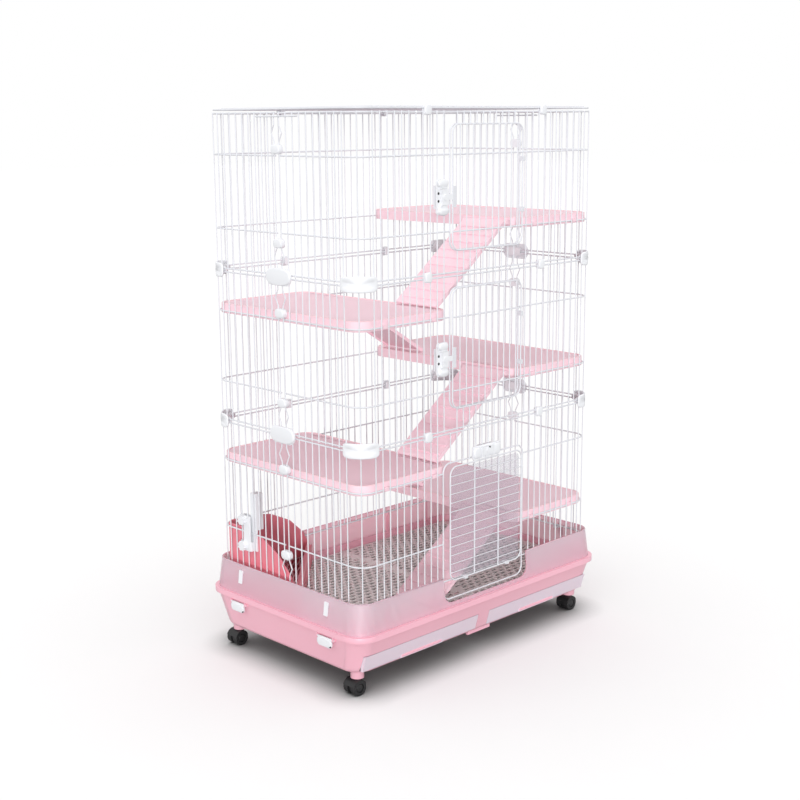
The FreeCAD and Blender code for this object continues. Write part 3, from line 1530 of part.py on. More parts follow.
def ramp_slope(drop):
    """The slope at which the foot's lower edge stands the drop below the pivot.

    The foot's lower edge lies ramp_length along and ramp_flange - ramp_barrel / 2 under the pivot.
    """
    under = d.ramp_flange - d.ramp_barrel / 2
    reach = math.hypot(d.ramp_length.number, under.number)
    reach_text = f"sqrt({d.ramp_length.text} ^ 2 + {under.text} ^ 2)"
    dip_text = f"atan({under.text} / {d.ramp_length.text})"
    dip = math.degrees(math.atan(under.number / d.ramp_length.number))
    return arcsine(drop / Size(reach_text, reach)) - Size(dip_text, dip)


# Litter pan and its clamp


def litter_pan():
    """A corner pan in its own frame: +X from its corner to its low front, walls along both legs."""
    body = new_body("pan")
    depth = d.pan_leg * math.sqrt(0.5)
    outline = [(0.0, 0.0), (depth, -depth), (depth, depth)]
    prism(body, "form", "Pad", "Z", 0.0, d.pan_height, lambda sketch: draw_path(sketch, outline))
    inset = d.pan_wall * math.sqrt(2)
    front = depth - d.pan_front
    inside = [(inset, 0.0), (front, inset - front), (front, front - inset)]
    floor = d.pan_wall
    top = d.pan_height
    prism(body, "inside", "Pocket", "Z", floor, top, lambda sketch: draw_path(sketch, inside))
    nose = d.pan_nose
    reach = d.pan_leg
    blunt = [(-nose, -reach), (nose, -reach), (nose, reach), (-nose, reach)]
    prism(body, "blunt_corner", "Pocket", "Z", 0.0, top, lambda sketch: draw_path(sketch, blunt))
    back = [(nose, -nose), (nose + d.pan_wall, -nose), (nose + d.pan_wall, nose), (nose, nose)]
    prism(body, "corner_wall", "Pad", "Z", 0.0, top, lambda sketch: draw_path(sketch, back))
    sweep = [(depth * along, top * up) for along, up in PAN_SWEEP]
    sweep += [(depth * PAN_LIP_START, d.pan_lip_height), (depth + nose, d.pan_lip_height)]
    sweep += [(depth + nose, top + nose), (sweep[0][0], top + nose)]
    prism(body, "swept_top", "Pocket", "Y", -reach, reach, lambda sketch: draw_path(sketch, sweep))
    return body


def pan_grate():
    """The pan's lattice, in the pan's frame, on three feet."""
    depth = d.pan_leg.number * math.sqrt(0.5)
    gap = d.slide_gap.number * 2
    inset = d.pan_wall.number * math.sqrt(2) + gap * 2
    tip = d.pan_nose.number + d.pan_wall.number + gap
    front = depth - d.pan_front.number - gap
    tip_half = tip - inset
    level = d.grate_height.number
    points = [(tip, -tip_half), (front, inset - front), (front, front - inset), (tip, tip_half)]
    holes = []
    pitch = d.grate_pitch.number
    half = d.grate_hole.number / 2
    for column in range(1, int((front - tip) // pitch)):
        x = tip + column * pitch + half
        rows = int((x - half - inset - half * 2) // pitch)
        for row in range(-rows, rows + 1):
            y = row * pitch
            holes.append(rectangle(x - half, y - half, x + half, y + half))
    plate = holed_plate(points, holes, d.grate_thickness.number, level)
    foot = d.grate_foot.number
    floor = d.pan_wall.number + d.seat_gap.number
    feet = []
    side = front - inset - foot * 3
    for x, y in ((tip, 0.0), (front - foot, side), (front - foot, -side)):
        base = Vector(x, y - foot / 2, floor)
        feet.append(Part.makeBox(foot, foot, level - floor, base))
    feature = doc.addObject("Part::Feature", "grate")
    feature.Shape = plate.multiFuse(feet).removeSplitter()
    return feature


def pan_clamp():
    """The clamp on the left wires: an outer bar with two ears, a jaw inside and a tall post."""
    body = new_body("clamp")
    outer = -half_width - bar_face - d.seat_gap
    inner = -half_width + rail_r + d.seat_gap
    knob_y = clamp_knob_y
    post_front = knob_y - d.clamp_width + d.clamp_ear / 2
    bar_stop = knob_y - d.knob_diameter / 2 + d.clamp_ear / 2
    bar_start = bar_stop - d.clamp_bar
    bar_low = (outer - d.clamp_plate, bar_start, d.clamp_low)
    block(body, "outer_bar", "Pad", bar_low, (outer, bar_stop, d.clamp_high))
    for name, level in zip(("low", "high"), knob_levels):
        ear_low = (outer - d.clamp_plate, bar_stop - d.clamp_plate, level - d.clamp_ear / 2)
        ear_high = (outer, knob_y + d.clamp_ear / 2, level + d.clamp_ear / 2)
        block(body, f"{name}_ear", "Pad", ear_low, ear_high)
    jaw_low = (inner, post_front, d.clamp_low)
    jaw_high = (inner + d.clamp_plate, knob_y + d.clamp_ear / 2, d.clamp_high)
    block(body, "jaw", "Pad", jaw_low, jaw_high)
    post_low = (inner, post_front, d.grid_top + d.pan_height + d.clamp_plate)
    post_high = (inner + d.clamp_post, post_front + d.clamp_post, d.clamp_post_top)
    block(body, "post", "Pad", post_low, post_high)
    web_y = knob_y - side_gap
    web_low = (outer - d.clamp_plate / 2, web_y - d.clamp_plate, d.clamp_low)
    web_high = (inner + d.clamp_plate / 2, web_y + d.clamp_plate, knob_levels[0] + d.clamp_ear / 2)
    block(body, "web", "Pad", web_low, web_high)
    bore = d.knob_screw + d.running_gap * 2
    centres = [(knob_y, level) for level in knob_levels]
    stop = inner + d.clamp_plate
    rods(body, "screw_bores", "X", centres, bore, outer - d.clamp_plate, stop, kind="Pocket")
    return body


clamp_middle = (d.clamp_low + d.clamp_high) / 2
knob_levels = (clamp_middle - d.knob_spread / 2, clamp_middle + d.knob_spread / 2)
clamp_knob_y = tab_y


def pan_knob():
    """A clamp knob with its screw, round its own X axis, with the head towards -X."""
    body = new_body("knob")
    face = -half_width - bar_face - d.seat_gap * 2 - d.clamp_plate
    tip = -half_width + rail_r + d.seat_gap + d.clamp_plate
    rods(body, "head", "X", [(0.0, 0.0)], d.knob_diameter, face - d.knob_height, face)
    rods(body, "screw", "X", [(0.0, 0.0)], d.knob_screw, face, tip)
    flutes = []
    for step in range(8):
        angle = math.radians(45 * step)
        flutes.append((d.knob_diameter / 2 * math.cos(angle), d.knob_diameter / 2 * math.sin(angle)))
    rods(body, "flutes", "X", flutes, d.knob_flute, face - d.knob_height, face, kind="Pocket")
    return body


def build_pan():
    """The corner litter pan with its lattice, and the clamp with two knobs."""
    pan_x = -half_width + d.pan_inset
    pan_y = half_depth - d.pan_inset
    pan_z = d.grid_top + d.seat_gap
    add_node("litter_pan", copy_of("pan_copy", litter_pan(), pan_x, pan_y, pan_z, -45))
    add_node("pan_grate", copy_of("grate_copy", pan_grate(), pan_x, pan_y, pan_z, -45))
    add_node("pan_clamp", pan_clamp())
    knob = pan_knob()
    for name, level in zip(("lower", "upper"), knob_levels):
        add_node(f"pan_knob_{name}", copy_of(f"knob_{name}", knob, 0.0, clamp_knob_y, level))


def check_document():
    """Stop if any object failed or any finished piece has no sound shape."""
    for obj in doc.Objects:
        if "Invalid" in obj.State or "Error" in obj.State:
            raise RuntimeError(f"{obj.Label} failed: {obj.State}")
    for label, obj in nodes.items():
        shape = Part.getShape(obj)
        if shape.isNull() or not shape.isValid() or not shape.Solids:
            raise RuntimeError(f"{label} has no sound shape")


def main():
    """Build the cage, test it and write one file per piece."""
    build_tower()
    build_tower_fittings()
    build_doors()
    build_base()
    build_casters()
    build_shelves()
    build_pan()
    doc.recompute()
    check_document()
    os.makedirs("parts", exist_ok=True)
    for label, obj in nodes.items():
        Part.getShape(obj).exportStep(f"parts/{label}.step")
    print(f"{len(nodes)} pieces written")


main()
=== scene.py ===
"""Looks of a three-tier wire rabbit cage on a castered base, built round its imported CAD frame."""
import json
import logging
import math
from dataclasses import dataclass, replace
from enum import Enum

import bmesh
import bpy
import numpy as np
from mathutils import Matrix, Vector


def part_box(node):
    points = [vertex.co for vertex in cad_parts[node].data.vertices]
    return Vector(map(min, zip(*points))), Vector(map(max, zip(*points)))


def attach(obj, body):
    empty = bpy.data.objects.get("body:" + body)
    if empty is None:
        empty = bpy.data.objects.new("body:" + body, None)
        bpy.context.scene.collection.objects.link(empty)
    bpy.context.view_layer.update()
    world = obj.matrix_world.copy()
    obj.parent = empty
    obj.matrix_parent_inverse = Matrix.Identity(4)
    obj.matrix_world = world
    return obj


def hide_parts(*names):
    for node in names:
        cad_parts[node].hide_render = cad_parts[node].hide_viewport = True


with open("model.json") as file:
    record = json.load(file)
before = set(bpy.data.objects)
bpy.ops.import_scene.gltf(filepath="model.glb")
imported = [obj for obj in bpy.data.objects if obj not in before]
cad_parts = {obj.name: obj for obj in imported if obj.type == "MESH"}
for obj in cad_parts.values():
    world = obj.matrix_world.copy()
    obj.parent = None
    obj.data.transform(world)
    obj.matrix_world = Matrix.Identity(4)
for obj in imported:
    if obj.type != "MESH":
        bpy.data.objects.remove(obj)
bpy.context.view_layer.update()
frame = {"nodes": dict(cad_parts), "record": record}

MM = 0.001
WELD = 1e-6
LOG = logging.getLogger("rabbit_cage")

WHITE = (1.0, 1.0, 1.0, 1.0)
Array = np.ndarray
Colour = tuple[float, float, float]
Materials = dict[str, bpy.types.Material]
Socket = bpy.types.NodeSocket


class Side(Enum):
    """The sides of the cage, by the direction in X and Y that each faces."""

    LEFT = (-1, 0)
    RIGHT = (1, 0)
    FRONT = (0, -1)
    BACK = (0, 1)

    @property
    def sign(self) -> int:
        """The sign of the side along its own axis."""
        return sum(self.value)

    @property
    def word(self) -> str:
        """The side's word in the names of pieces and bodies."""
        return self.name.lower()


ENDS = (Side.LEFT, Side.RIGHT)
FACES = (Side.FRONT, Side.BACK)


class Axis(Enum):
    """Axes along which a finish may change, by the names of their sockets."""

    DEPTH = "Y"
    HEIGHT = "Z"


class Body(Enum):
    """Bodies of the frame that are called by one fixed name."""

    CAGE = "cage"
    LITTER_PAN = "litter_pan"
    LOCK_LOWER = "lock_slide_lower"


# Node trees

# What noise puts out on average.
NOISE_MEAN = 0.5
# Slow drift of colour, and the fine noise that makes pale specks where it passes the cut.
DRIFT_DETAIL = 3.0
SPECK_SCALE = 900.0
SPECK_CUT = 0.68
# Moulded grain, slow drift of roughness, and long rubs where stretched noise passes the cut.
GRAIN_DETAIL = 4.0
ROUGH_SCALE = 22.0
ROUGH_DETAIL = 5.0
RUB_STRETCH = (18.0, 160.0, 160.0)
RUB_CUT = 0.66
RUB_GAIN = 0.06
# How far red, green and blue light goes under a surface, in metres.
UNDER_REACH = (0.004, 0.002, 0.0023)


@dataclass
class Graph:
    """A node tree with short calls that add and feed nodes.

    Args:
        tree: The node tree to write into.
    """

    tree: bpy.types.NodeTree

    @classmethod
    def emptied(cls, owner: bpy.types.ID) -> "Graph":
        """The graph of a material or a world, with its nodes taken out.

        Args:
            owner: The material or the world.

        Returns:
            The empty graph.
        """
        owner.use_nodes = True
        owner.node_tree.nodes.clear()
        return cls(owner.node_tree)

    def add(self, kind: str, **settings: object) -> bpy.types.Node:
        """Add a node.

        Args:
            kind: Node type without its ShaderNode prefix.
            settings: Properties of the node.

        Returns:
            The new node.
        """
        node = self.tree.nodes.new(kind if kind.startswith("Node") else f"ShaderNode{kind}")
        for name, value in settings.items():
            setattr(node, name, value)
        return node

    def feed(self, value: object, target: Socket) -> None:
        """Link an output socket to an input, or set the input to a plain value.

        Args:
            value: The socket or the value.
            target: The input.
        """
        if isinstance(value, Socket):
            self.tree.links.new(value, target)
        else:
            target.default_value = value

    def fill(self, node: bpy.types.Node, values: dict[str, object]) -> bpy.types.Node:
        """Feed several inputs of a node.

        Args:
            node: The node.
            values: A socket or a value by the input's name.

        Returns:
            The same node.
        """
        for name, value in values.items():
            self.feed(value, node.inputs[name])
        return node

    def maths(self, operation: str, first: object, second: object) -> Socket:
        """Add a maths node.

        Args:
            operation: Name of the operation.
            first: A socket or a number.
            second: A socket or a number.

        Returns:
            The result's socket.
        """
        node = self.add("Math", operation=operation)
        self.feed(first, node.inputs[0])
        self.feed(second, node.inputs[1])
        return node.outputs[0]

    def noise(self, place: Socket, scale: object, detail: float = 2.0) -> Socket:
        """Add a noise texture.

        Args:
            place: Where it is read.
            scale: A socket or a number, per metre.
            detail: Its finer octaves.

        Returns:
            The noise's socket.
        """
        values = {"Vector": place, "Scale": scale, "Detail": detail}
        return self.fill(self.add("TexNoise"), values).outputs[0]

    def mix(self, share: Socket, first: object, second: object, blend: str = "MIX") -> Socket:
        """Add a mix of two colours.

        Args:
            share: Share of the second colour.
            first: A socket or a colour.
            second: A socket or a colour.
            blend: Name of the way they are mixed.

        Returns:
            The colour's socket.
        """
        values = {"Fac": share, "Color1": first, "Color2": second}
        return self.fill(self.add("MixRGB", blend_type=blend), values).outputs[0]

    def rays(self, first: str, *others: str) -> Socket:
        """Add a mask of the light paths that are of any of some kinds.

        Args:
            first: Name of a kind.
            others: Names of more kinds.

        Returns:
            The mask's socket.
        """
        path = self.add("LightPath")
        mask = path.outputs[first]
        for kind in others:
            mask = self.maths("MAXIMUM", mask, path.outputs[kind])
        return mask


def new_group(
    name: str, inputs: dict[str, tuple[str, object]], outputs: dict[str, str],
) -> tuple[Graph, bpy.types.Node, bpy.types.Node]:
    """Start a shader node group with named sockets.

    Args:
        name: Name of the group.
        inputs: Socket type and default value by name.
        outputs: Socket type by name.

    Returns:
        The group's graph, its input node and its output node.
    """
    group = bpy.data.node_groups.new(name, "ShaderNodeTree")
    for label, (kind, value) in inputs.items():
        socket = group.interface.new_socket(label, in_out="INPUT", socket_type=kind)
        socket.default_value = value
    for label, kind in outputs.items():
        group.interface.new_socket(label, in_out="OUTPUT", socket_type=kind)
    graph = Graph(group)
    return graph, graph.add("NodeGroupInput"), graph.add("NodeGroupOutput")


def tone_drift_group() -> bpy.types.NodeTree:
    """Colour that drifts a little over the surface, as in a large moulding.

    The colour is scaled by 1 plus an amount times (slow noise minus a half), and faint pale specks
    of fine noise are laid over it.

    Returns:
        The node group.
    """
    inputs = {
        "Color": ("NodeSocketColor", (0.8, 0.8, 0.8, 1.0)),
        "Amount": ("NodeSocketFloat", 0.1),
        "Scale": ("NodeSocketFloat", 6.0),
        "Specks": ("NodeSocketFloat", 0.02),
    }
    graph, source, target = new_group("tone_drift", inputs, {"Color": "NodeSocketColor"})
    place = graph.add("TexCoord").outputs["Object"]
    slow = graph.noise(place, source.outputs["Scale"], DRIFT_DETAIL)
    swing = graph.maths("SUBTRACT", slow, NOISE_MEAN)
    level = graph.maths("ADD", graph.maths("MULTIPLY", swing, source.outputs["Amount"]), 1.0)
    scaled = graph.add("VectorMath", operation="SCALE")
    graph.feed(source.outputs["Color"], scaled.inputs[0])
    graph.feed(level, scaled.inputs["Scale"])
    speck = graph.maths("GREATER_THAN", graph.noise(place, SPECK_SCALE), SPECK_CUT)
    share = graph.maths("MULTIPLY", speck, source.outputs["Specks"])
    speckled = graph.mix(share, scaled.outputs[0], WHITE, blend="SCREEN")
    graph.feed(speckled, target.inputs["Color"])
    return graph.tree


def mould_grain_group() -> bpy.types.NodeTree:
    """Fine moulded grain with long faint rubs.

    Height is fine noise. Roughness is a base value plus a spread times (slow noise minus a half),
    plus a little where stretched noise passes a threshold, as rub marks do.

    Returns:
        The node group.
    """
    inputs = {
        "Scale": ("NodeSocketFloat", 1400.0),
        "Rough": ("NodeSocketFloat", 0.4),
        "Spread": ("NodeSocketFloat", 0.1),
    }
    outputs = {"Height": "NodeSocketFloat", "Roughness": "NodeSocketFloat"}
    graph, source, target = new_group("mould_grain", inputs, outputs)
    place = graph.add("TexCoord").outputs["Object"]
    grain = graph.noise(place, source.outputs["Scale"], GRAIN_DETAIL)
    swing = graph.maths("SUBTRACT", graph.noise(place, ROUGH_SCALE, ROUGH_DETAIL), NOISE_MEAN)
    drift = graph.maths("MULTIPLY", swing, source.outputs["Spread"])
    stretch = graph.fill(graph.add("Mapping"), {"Vector": place, "Scale": RUB_STRETCH})
    streak = graph.noise(stretch.outputs[0], 1.0)
    rub = graph.maths("MULTIPLY", graph.maths("GREATER_THAN", streak, RUB_CUT), RUB_GAIN)
    total = graph.maths("ADD", graph.maths("ADD", source.outputs["Rough"], drift), rub)
    graph.fill(target, {"Height": grain, "Roughness": total})
    return graph.tree


def inward_group() -> bpy.types.NodeTree:
    """Mask of the faces of an upright wall that look inwards, where painted inner light goes.

    The mask is 1 where the dot product of the normal and the place, both without their height, is
    below 0, and 0 elsewhere.

    Returns:
        The node group.
    """
    graph, _, target = new_group("inward", {}, {"Mask": "NodeSocketFloat"})
    place = graph.add("TexCoord")
    level = graph.add("VectorMath", operation="MULTIPLY")
    graph.feed(place.outputs["Object"], level.inputs[0])
    graph.feed((1.0, 1.0, 0.0), level.inputs[1])
    along = graph.add("VectorMath", operation="DOT_PRODUCT")
    graph.feed(place.outputs["Normal"], along.inputs[0])
    graph.feed(level.outputs[0], along.inputs[1])
    graph.feed(graph.maths("LESS_THAN", along.outputs["Value"], 0.0), target.inputs["Mask"])
    return graph.tree


class Effects:
    """The node groups that several finishes share, built once."""

    def __init__(self) -> None:
        """Build the groups."""
        self.tone_drift = tone_drift_group()
        self.mould_grain = mould_grain_group()
        self.inward = inward_group()


@dataclass(frozen=True)
class Finish:
    """A moulded or coated surface.

    Args:
        name: Name of the material, which is also its slot's where the record has one.
        colour: Base colour, linear.
        rough: Base roughness.
        spread: How far roughness drifts.
        grain: Scale of the fine grain, per metre.
        depth: Height of the grain, in metres.
        drift: How far the colour drifts.
        specks: Share of pale specks.
        coat: Weight of the clear gloss layer.
        alpha: Opacity.
        subsurface: Weight of light that passes under the surface.
        far_colour: Colour at the far end of a part that changes along an axis, if any; on the
            drawers and the litter pan it is painted shade.
        fade: Where that change starts and ends, in metres.
        fade_axis: The axis of that change.
        painted_inner_colour: Colour of the faces that look inwards, if it differs: painted pink
            bounce light and shade on inner walls.
    """

    name: str
    colour: Colour
    rough: float = 0.4
    spread: float = 0.12
    grain: float = 1400.0
    depth: float = 0.00006
    drift: float = 0.1
    specks: float = 0.02
    coat: float = 0.0
    alpha: float = 1.0
    subsurface: float = 0.0
    far_colour: Colour | None = None
    fade: tuple[float, float] = (0.0, 1.0)
    fade_axis: Axis = Axis.HEIGHT
    painted_inner_colour: Colour | None = None

    def build(self, effects: Effects) -> bpy.types.Material:
        """Make the material.

        Args:
            effects: The shared node groups.

        Returns:
            The material.
        """
        material = bpy.data.materials.new(self.name)
        graph = Graph.emptied(material)
        tone = graph.fill(graph.add("Group", node_tree=effects.tone_drift), {
            "Color": self.base_colour(graph, effects),
            "Amount": self.drift,
            "Specks": self.specks,
        })
        grain = graph.fill(graph.add("Group", node_tree=effects.mould_grain), {
            "Scale": self.grain,
            "Rough": self.rough,
            "Spread": self.spread,
        })
        bump = graph.fill(graph.add("Bump"), {
            "Distance": self.depth,
            "Height": grain.outputs["Height"],
        })
        shader = graph.fill(graph.add("BsdfPrincipled"), {
            "Base Color": tone.outputs["Color"],
            "Roughness": grain.outputs["Roughness"],
            "Normal": bump.outputs[0],
            "Coat Weight": self.coat,
            "Alpha": self.alpha,
        })
        if self.subsurface:
            graph.fill(shader, {
                "Subsurface Weight": self.subsurface,
                "Subsurface Radius": UNDER_REACH,
            })
        graph.fill(graph.add("OutputMaterial"), {"Surface": shader.outputs[0]})
        return material

    def base_colour(self, graph: Graph, effects: Effects) -> object:
        """The colour before it drifts.

        Where the finish has a far colour, it fades to that along the axis. Where it has a painted
        inner colour, the faces that look inwards take that painted bounce light and shade.

        Args:
            graph: The material's graph.
            effects: The shared node groups.

        Returns:
            A socket, or a plain colour.
        """
        colour = (*self.colour, 1.0)
        if self.far_colour is not None:
            place = graph.add("TexCoord").outputs["Object"]
            axes = graph.fill(graph.add("SeparateXYZ"), {"Vector": place})
            share = graph.fill(graph.add("MapRange"), {
                "Value": axes.outputs[self.fade_axis.value],
                "From Min": self.fade[0],
                "From Max": self.fade[1],
            })
            colour = graph.mix(share.outputs[0], colour, (*self.far_colour, 1.0))
        if self.painted_inner_colour is not None:
            mask = graph.add("Group", node_tree=effects.inward).outputs["Mask"]
            colour = graph.mix(mask, colour, (*self.painted_inner_colour, 1.0))
        return colour


FINISHES = (
    Finish(
        "white_wire", (0.74, 0.75, 0.79), rough=0.36, grain=900.0, depth=0.00004, coat=0.1,
    ),
    Finish("white_plastic", (0.84, 0.85, 0.88), rough=0.38, drift=0.05),
    Finish("pink_plastic", (0.91, 0.49, 0.585), rough=0.36, subsurface=0.05),
    Finish("shelf_plastic", (0.93, 0.66, 0.73), rough=0.56, drift=0.08, subsurface=0.05),
    # The guard's inward faces take a pinker colour: painted pink light bounced inside the base, and
    # painted shade.
    Finish(
        "milky_plastic", (0.83, 0.52, 0.62), rough=0.42, drift=0.06, subsurface=0.2, alpha=0.60,
        far_colour=(0.80, 0.62, 0.70), fade=(0.143, 0.205), painted_inner_colour=(0.95, 0.50, 0.60),
    ),
    # The drawers turn nearly black just behind their fronts: painted shade inside the drawers, seen
    # through the lattice.
    Finish(
        "drawer_plastic", (0.83, 0.70, 0.79), rough=0.40, drift=0.05, subsurface=0.15,
        far_colour=(0.12, 0.09, 0.10), fade=(-0.2268, -0.2255), fade_axis=Axis.DEPTH,
    ),
    Finish("lattice_plastic", (0.93, 0.90, 0.88), rough=0.5, drift=0.05),
    Finish(
        "clear_sheet", (0.52, 0.48, 0.57), rough=0.25, drift=0.03, alpha=0.25, specks=0.0,
    ),
    # The pan is dark red up to 130 mm and pink from 134 mm: painted shade on its floor under the
    # netting.
    Finish(
        "pan_plastic", (0.45, 0.10, 0.13), rough=0.34, drift=0.08, subsurface=0.1,
        far_colour=(0.80, 0.22, 0.28), fade=(0.130, 0.134),
    ),
    Finish("grate_plastic", (0.90, 0.66, 0.70), rough=0.45),
    Finish("caster_plastic", (0.011, 0.011, 0.012), rough=0.5, specks=0.0),
    Finish("wheel_plastic", (0.009, 0.009, 0.010), rough=0.62, specks=0.0),
    # The last two are not slots of the record: dark screws and catches, and the shelves' rims.
    Finish("screw_black", (0.02, 0.02, 0.022), rough=0.35, specks=0.0),
    Finish("shelf_edge", (0.88, 0.60, 0.64), rough=0.36, drift=0.06, subsurface=0.15),
)


# Meshes


def sheet_faces(rows: int, columns: int) -> Array:
    """Quads of a grid of points stored row by row, each row a closed ring.

    Args:
        rows: Points along the first parameter.
        columns: Points along the second parameter, which closes on itself.

    Returns:
        An array of four point numbers per face.
    """
    row, column = np.meshgrid(np.arange(rows - 1), np.arange(columns), indexing="ij")
    after = (column + 1) % columns
    near, far = row * columns, (row + 1) * columns
    corners = (near + column, near + after, far + after, far + column)
    return np.stack([corner.ravel() for corner in corners], axis=1)


@dataclass
class Shape:
    """Points and quads of one mesh, in metres.

    Args:
        points: One row of three numbers per point.
        faces: One row of four point numbers per face.
    """

    points: Array
    faces: Array

    def __add__(self, other: "Shape") -> "Shape":
        """Both shapes in one."""
        faces = np.vstack([self.faces, other.faces + len(self.points)])
        return Shape(np.vstack([self.points, other.points]), faces)

    def moved(self, x: float = 0.0, y: float = 0.0, z: float = 0.0) -> "Shape":
        """The shape set over by three lengths."""
        return Shape(self.points + np.array([x, y, z]), self.faces)

    def turned(self, degrees: float) -> "Shape":
        """The shape turned about Z."""
        matrix = np.array(Matrix.Rotation(math.radians(degrees), 3, "Z"))
        return Shape(self.points @ matrix.T, self.faces)


def together(shapes: list[Shape]) -> Shape:
    """Several shapes in one.

    Args:
        shapes: One shape or more.

    Returns:
        The whole.
    """
    total = shapes[0]
    for shape in shapes[1:]:
        total = total + shape
    return total


def close_seams(mesh: bpy.types.Mesh) -> None:
    """Weld the points of seams and poles that fall together, and turn all faces outwards.

    Args:
        mesh: The mesh to mend.
    """
    work = bmesh.new()
    work.from_mesh(mesh)
    bmesh.ops.remove_doubles(work, verts=work.verts[:], dist=WELD)
    bmesh.ops.recalc_face_normals(work, faces=work.faces[:])
    work.to_mesh(mesh)
    work.free()


def piece(
    name: str, shape: Shape, body: Body | str, material: bpy.types.Material,
    stands_for: tuple[str, ...] = (),
) -> None:
    """Make a piece that rides on a body.

    Args:
        name: Name of the piece.
        shape: Its points and faces.
        body: The body that carries it.
        material: Its material.
        stands_for: Nodes of the frame that it stands for.
    """
    mesh = bpy.data.meshes.new(name)
    mesh.from_pydata(shape.points.tolist(), [], shape.faces.tolist())
    close_seams(mesh)
    mesh.polygons.foreach_set("use_smooth", np.full(len(mesh.polygons), True))
    mesh.materials.append(material)
    mesh.update()
    obj = bpy.data.objects.new(name, mesh)
    bpy.context.scene.collection.objects.link(obj)
    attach(obj, body.value if isinstance(body, Body) else body)
    if stands_for:
        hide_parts(*stands_for)
    LOG.info("%s: %d faces", name, len(mesh.polygons))


@dataclass(frozen=True)
class Pad:
    """A closed crowned pad that stands up along Z from Z 0.

    The outline is a superellipse |x/a|^n + |y/b|^n = 1. From the middle of the flat foot the
    surface runs out to the outline, goes straight up for the height less the edge, follows a
    quarter circle of the edge's size inwards, and rises to its middle by a share of the height.

    Args:
        half_x: Half its length along X.
        half_y: Half its length along Y.
        height: Height at the end of the rounded edge.
        power: Power n of the outline.
        edge: Size of the rounded edge.
        crown: Rise from the edge to the middle, as a share of the height.
        steps: Points round the outline.
        rings: Rings of points over the rounded edge.
        shoulder: Share of the rise that is reached half-way to the middle.
    """

    half_x: float
    half_y: float
    height: float
    power: float
    edge: float
    crown: float = 0.06
    steps: int = 48
    rings: int = 7
    shoulder: float = 0.7

    def shape(self) -> Shape:
        """The pad's points and faces.

        Returns:
            The shape.
        """
        angle = np.linspace(0.0, 2.0 * np.pi, self.steps, endpoint=False)
        circle = np.stack([np.cos(angle), np.sin(angle)])
        unit_x, unit_y = np.sign(circle) * np.abs(circle) ** (2.0 / self.power)
        turn = np.linspace(0.0, np.pi / 2.0, self.rings)
        least = min(self.half_x, self.half_y)
        edge_in, edge_up = self.edge * (1.0 - np.cos(turn)), self.edge * np.sin(turn)
        inset = np.concatenate([[least, 0.0], edge_in, [(least + self.edge) / 2.0, least]])[:, None]
        rise = self.height * (1.0 + self.crown * np.array([self.shoulder, 1.0]))
        level = np.concatenate([[0.0, 0.0], self.height - self.edge + edge_up, rise])
        reach_x = np.where(inset < least, self.half_x - inset, 0.0)
        reach_y = np.where(inset < least, self.half_y - inset, 0.0)
        up = np.broadcast_to(level[:, None], (len(level), self.steps))
        points = np.stack([reach_x * unit_x, reach_y * unit_y, up], axis=-1).reshape(-1, 3)
        return Shape(points, sheet_faces(len(level), self.steps))

    def facing(self, side: Side) -> Shape:
        """The pad set to face out of a side of the cage, with its Y upright.

        A point (x, y, z) goes to z times the side's direction plus x times that direction turned a
        quarter to the left, at the height y.

        Args:
            side: The side.

        Returns:
            The shape, at the origin.
        """
        shape = self.shape()
        x, y, z = shape.points.T
        out_x, out_y = side.value
        points = np.stack([z * out_x - x * out_y, z * out_y + x * out_x, y], axis=1)
        return Shape(points, shape.faces)

    def round_bend(self, radius: float) -> Shape:
        """The pad laid round an upright bend, with its Y upright.

        Its half length is what runs on straight past each end of the bend. Its X is measured
        along an arc of the radius, which spans a quarter turn about the bend's axis, and its Z is
        added to the radius.

        Args:
            radius: Radius of the arc on which its foot lies.

        Returns:
            The bent pad, round the origin, facing +X and +Y.
        """
        half_arc = radius * np.pi / 4.0
        shape = replace(self, half_x=half_arc + self.half_x).shape()
        along, up, out = shape.points.T
        bent = np.clip(along, -half_arc, half_arc)
        past = along - bent
        angle = np.pi / 4.0 + bent / radius
        x = (radius + out) * np.cos(angle) - past * np.sin(angle)
        y = (radius + out) * np.sin(angle) + past * np.cos(angle)
        return Shape(np.stack([x, y, up], axis=1), shape.faces)


def rounded_loop(
    half_x: float, half_y: float, corner: float, steps: int = 12,
) -> tuple[Array, Array]:
    """Points and outward normals of a rounded rectangle, anticlockwise from its front right corner.

    Each corner is a quarter circle: its centre plus the corner's radius times (cos, sin) of an
    angle that runs on by a quarter turn per corner. The straight runs lie between the corners.

    Args:
        half_x: Half its length along X.
        half_y: Half its length along Y.
        corner: Radius of its corners.
        steps: Points per corner.

    Returns:
        Points and normals, one row of two numbers each.
    """
    first = np.arange(4)[:, None] * 90.0 - 90.0
    angle = np.radians(first + np.linspace(0.0, 90.0, steps)[None, :]).ravel()
    sign_x = np.repeat([1.0, 1.0, -1.0, -1.0], steps)
    sign_y = np.repeat([-1.0, 1.0, 1.0, -1.0], steps)
    normals = np.stack([np.cos(angle), np.sin(angle)], axis=1)
    centres = np.stack([sign_x * (half_x - corner), sign_y * (half_y - corner)], axis=1)
    return centres + corner * normals, normals


def oval(half_out: float, half_up: float, steps: int = 12) -> Array:
    """Points of an oval profile: (a cos t, b sin t)."""
    angle = np.linspace(0.0, 2.0 * np.pi, steps, endpoint=False)
    return np.stack([half_out * np.cos(angle), half_up * np.sin(angle)], axis=1)


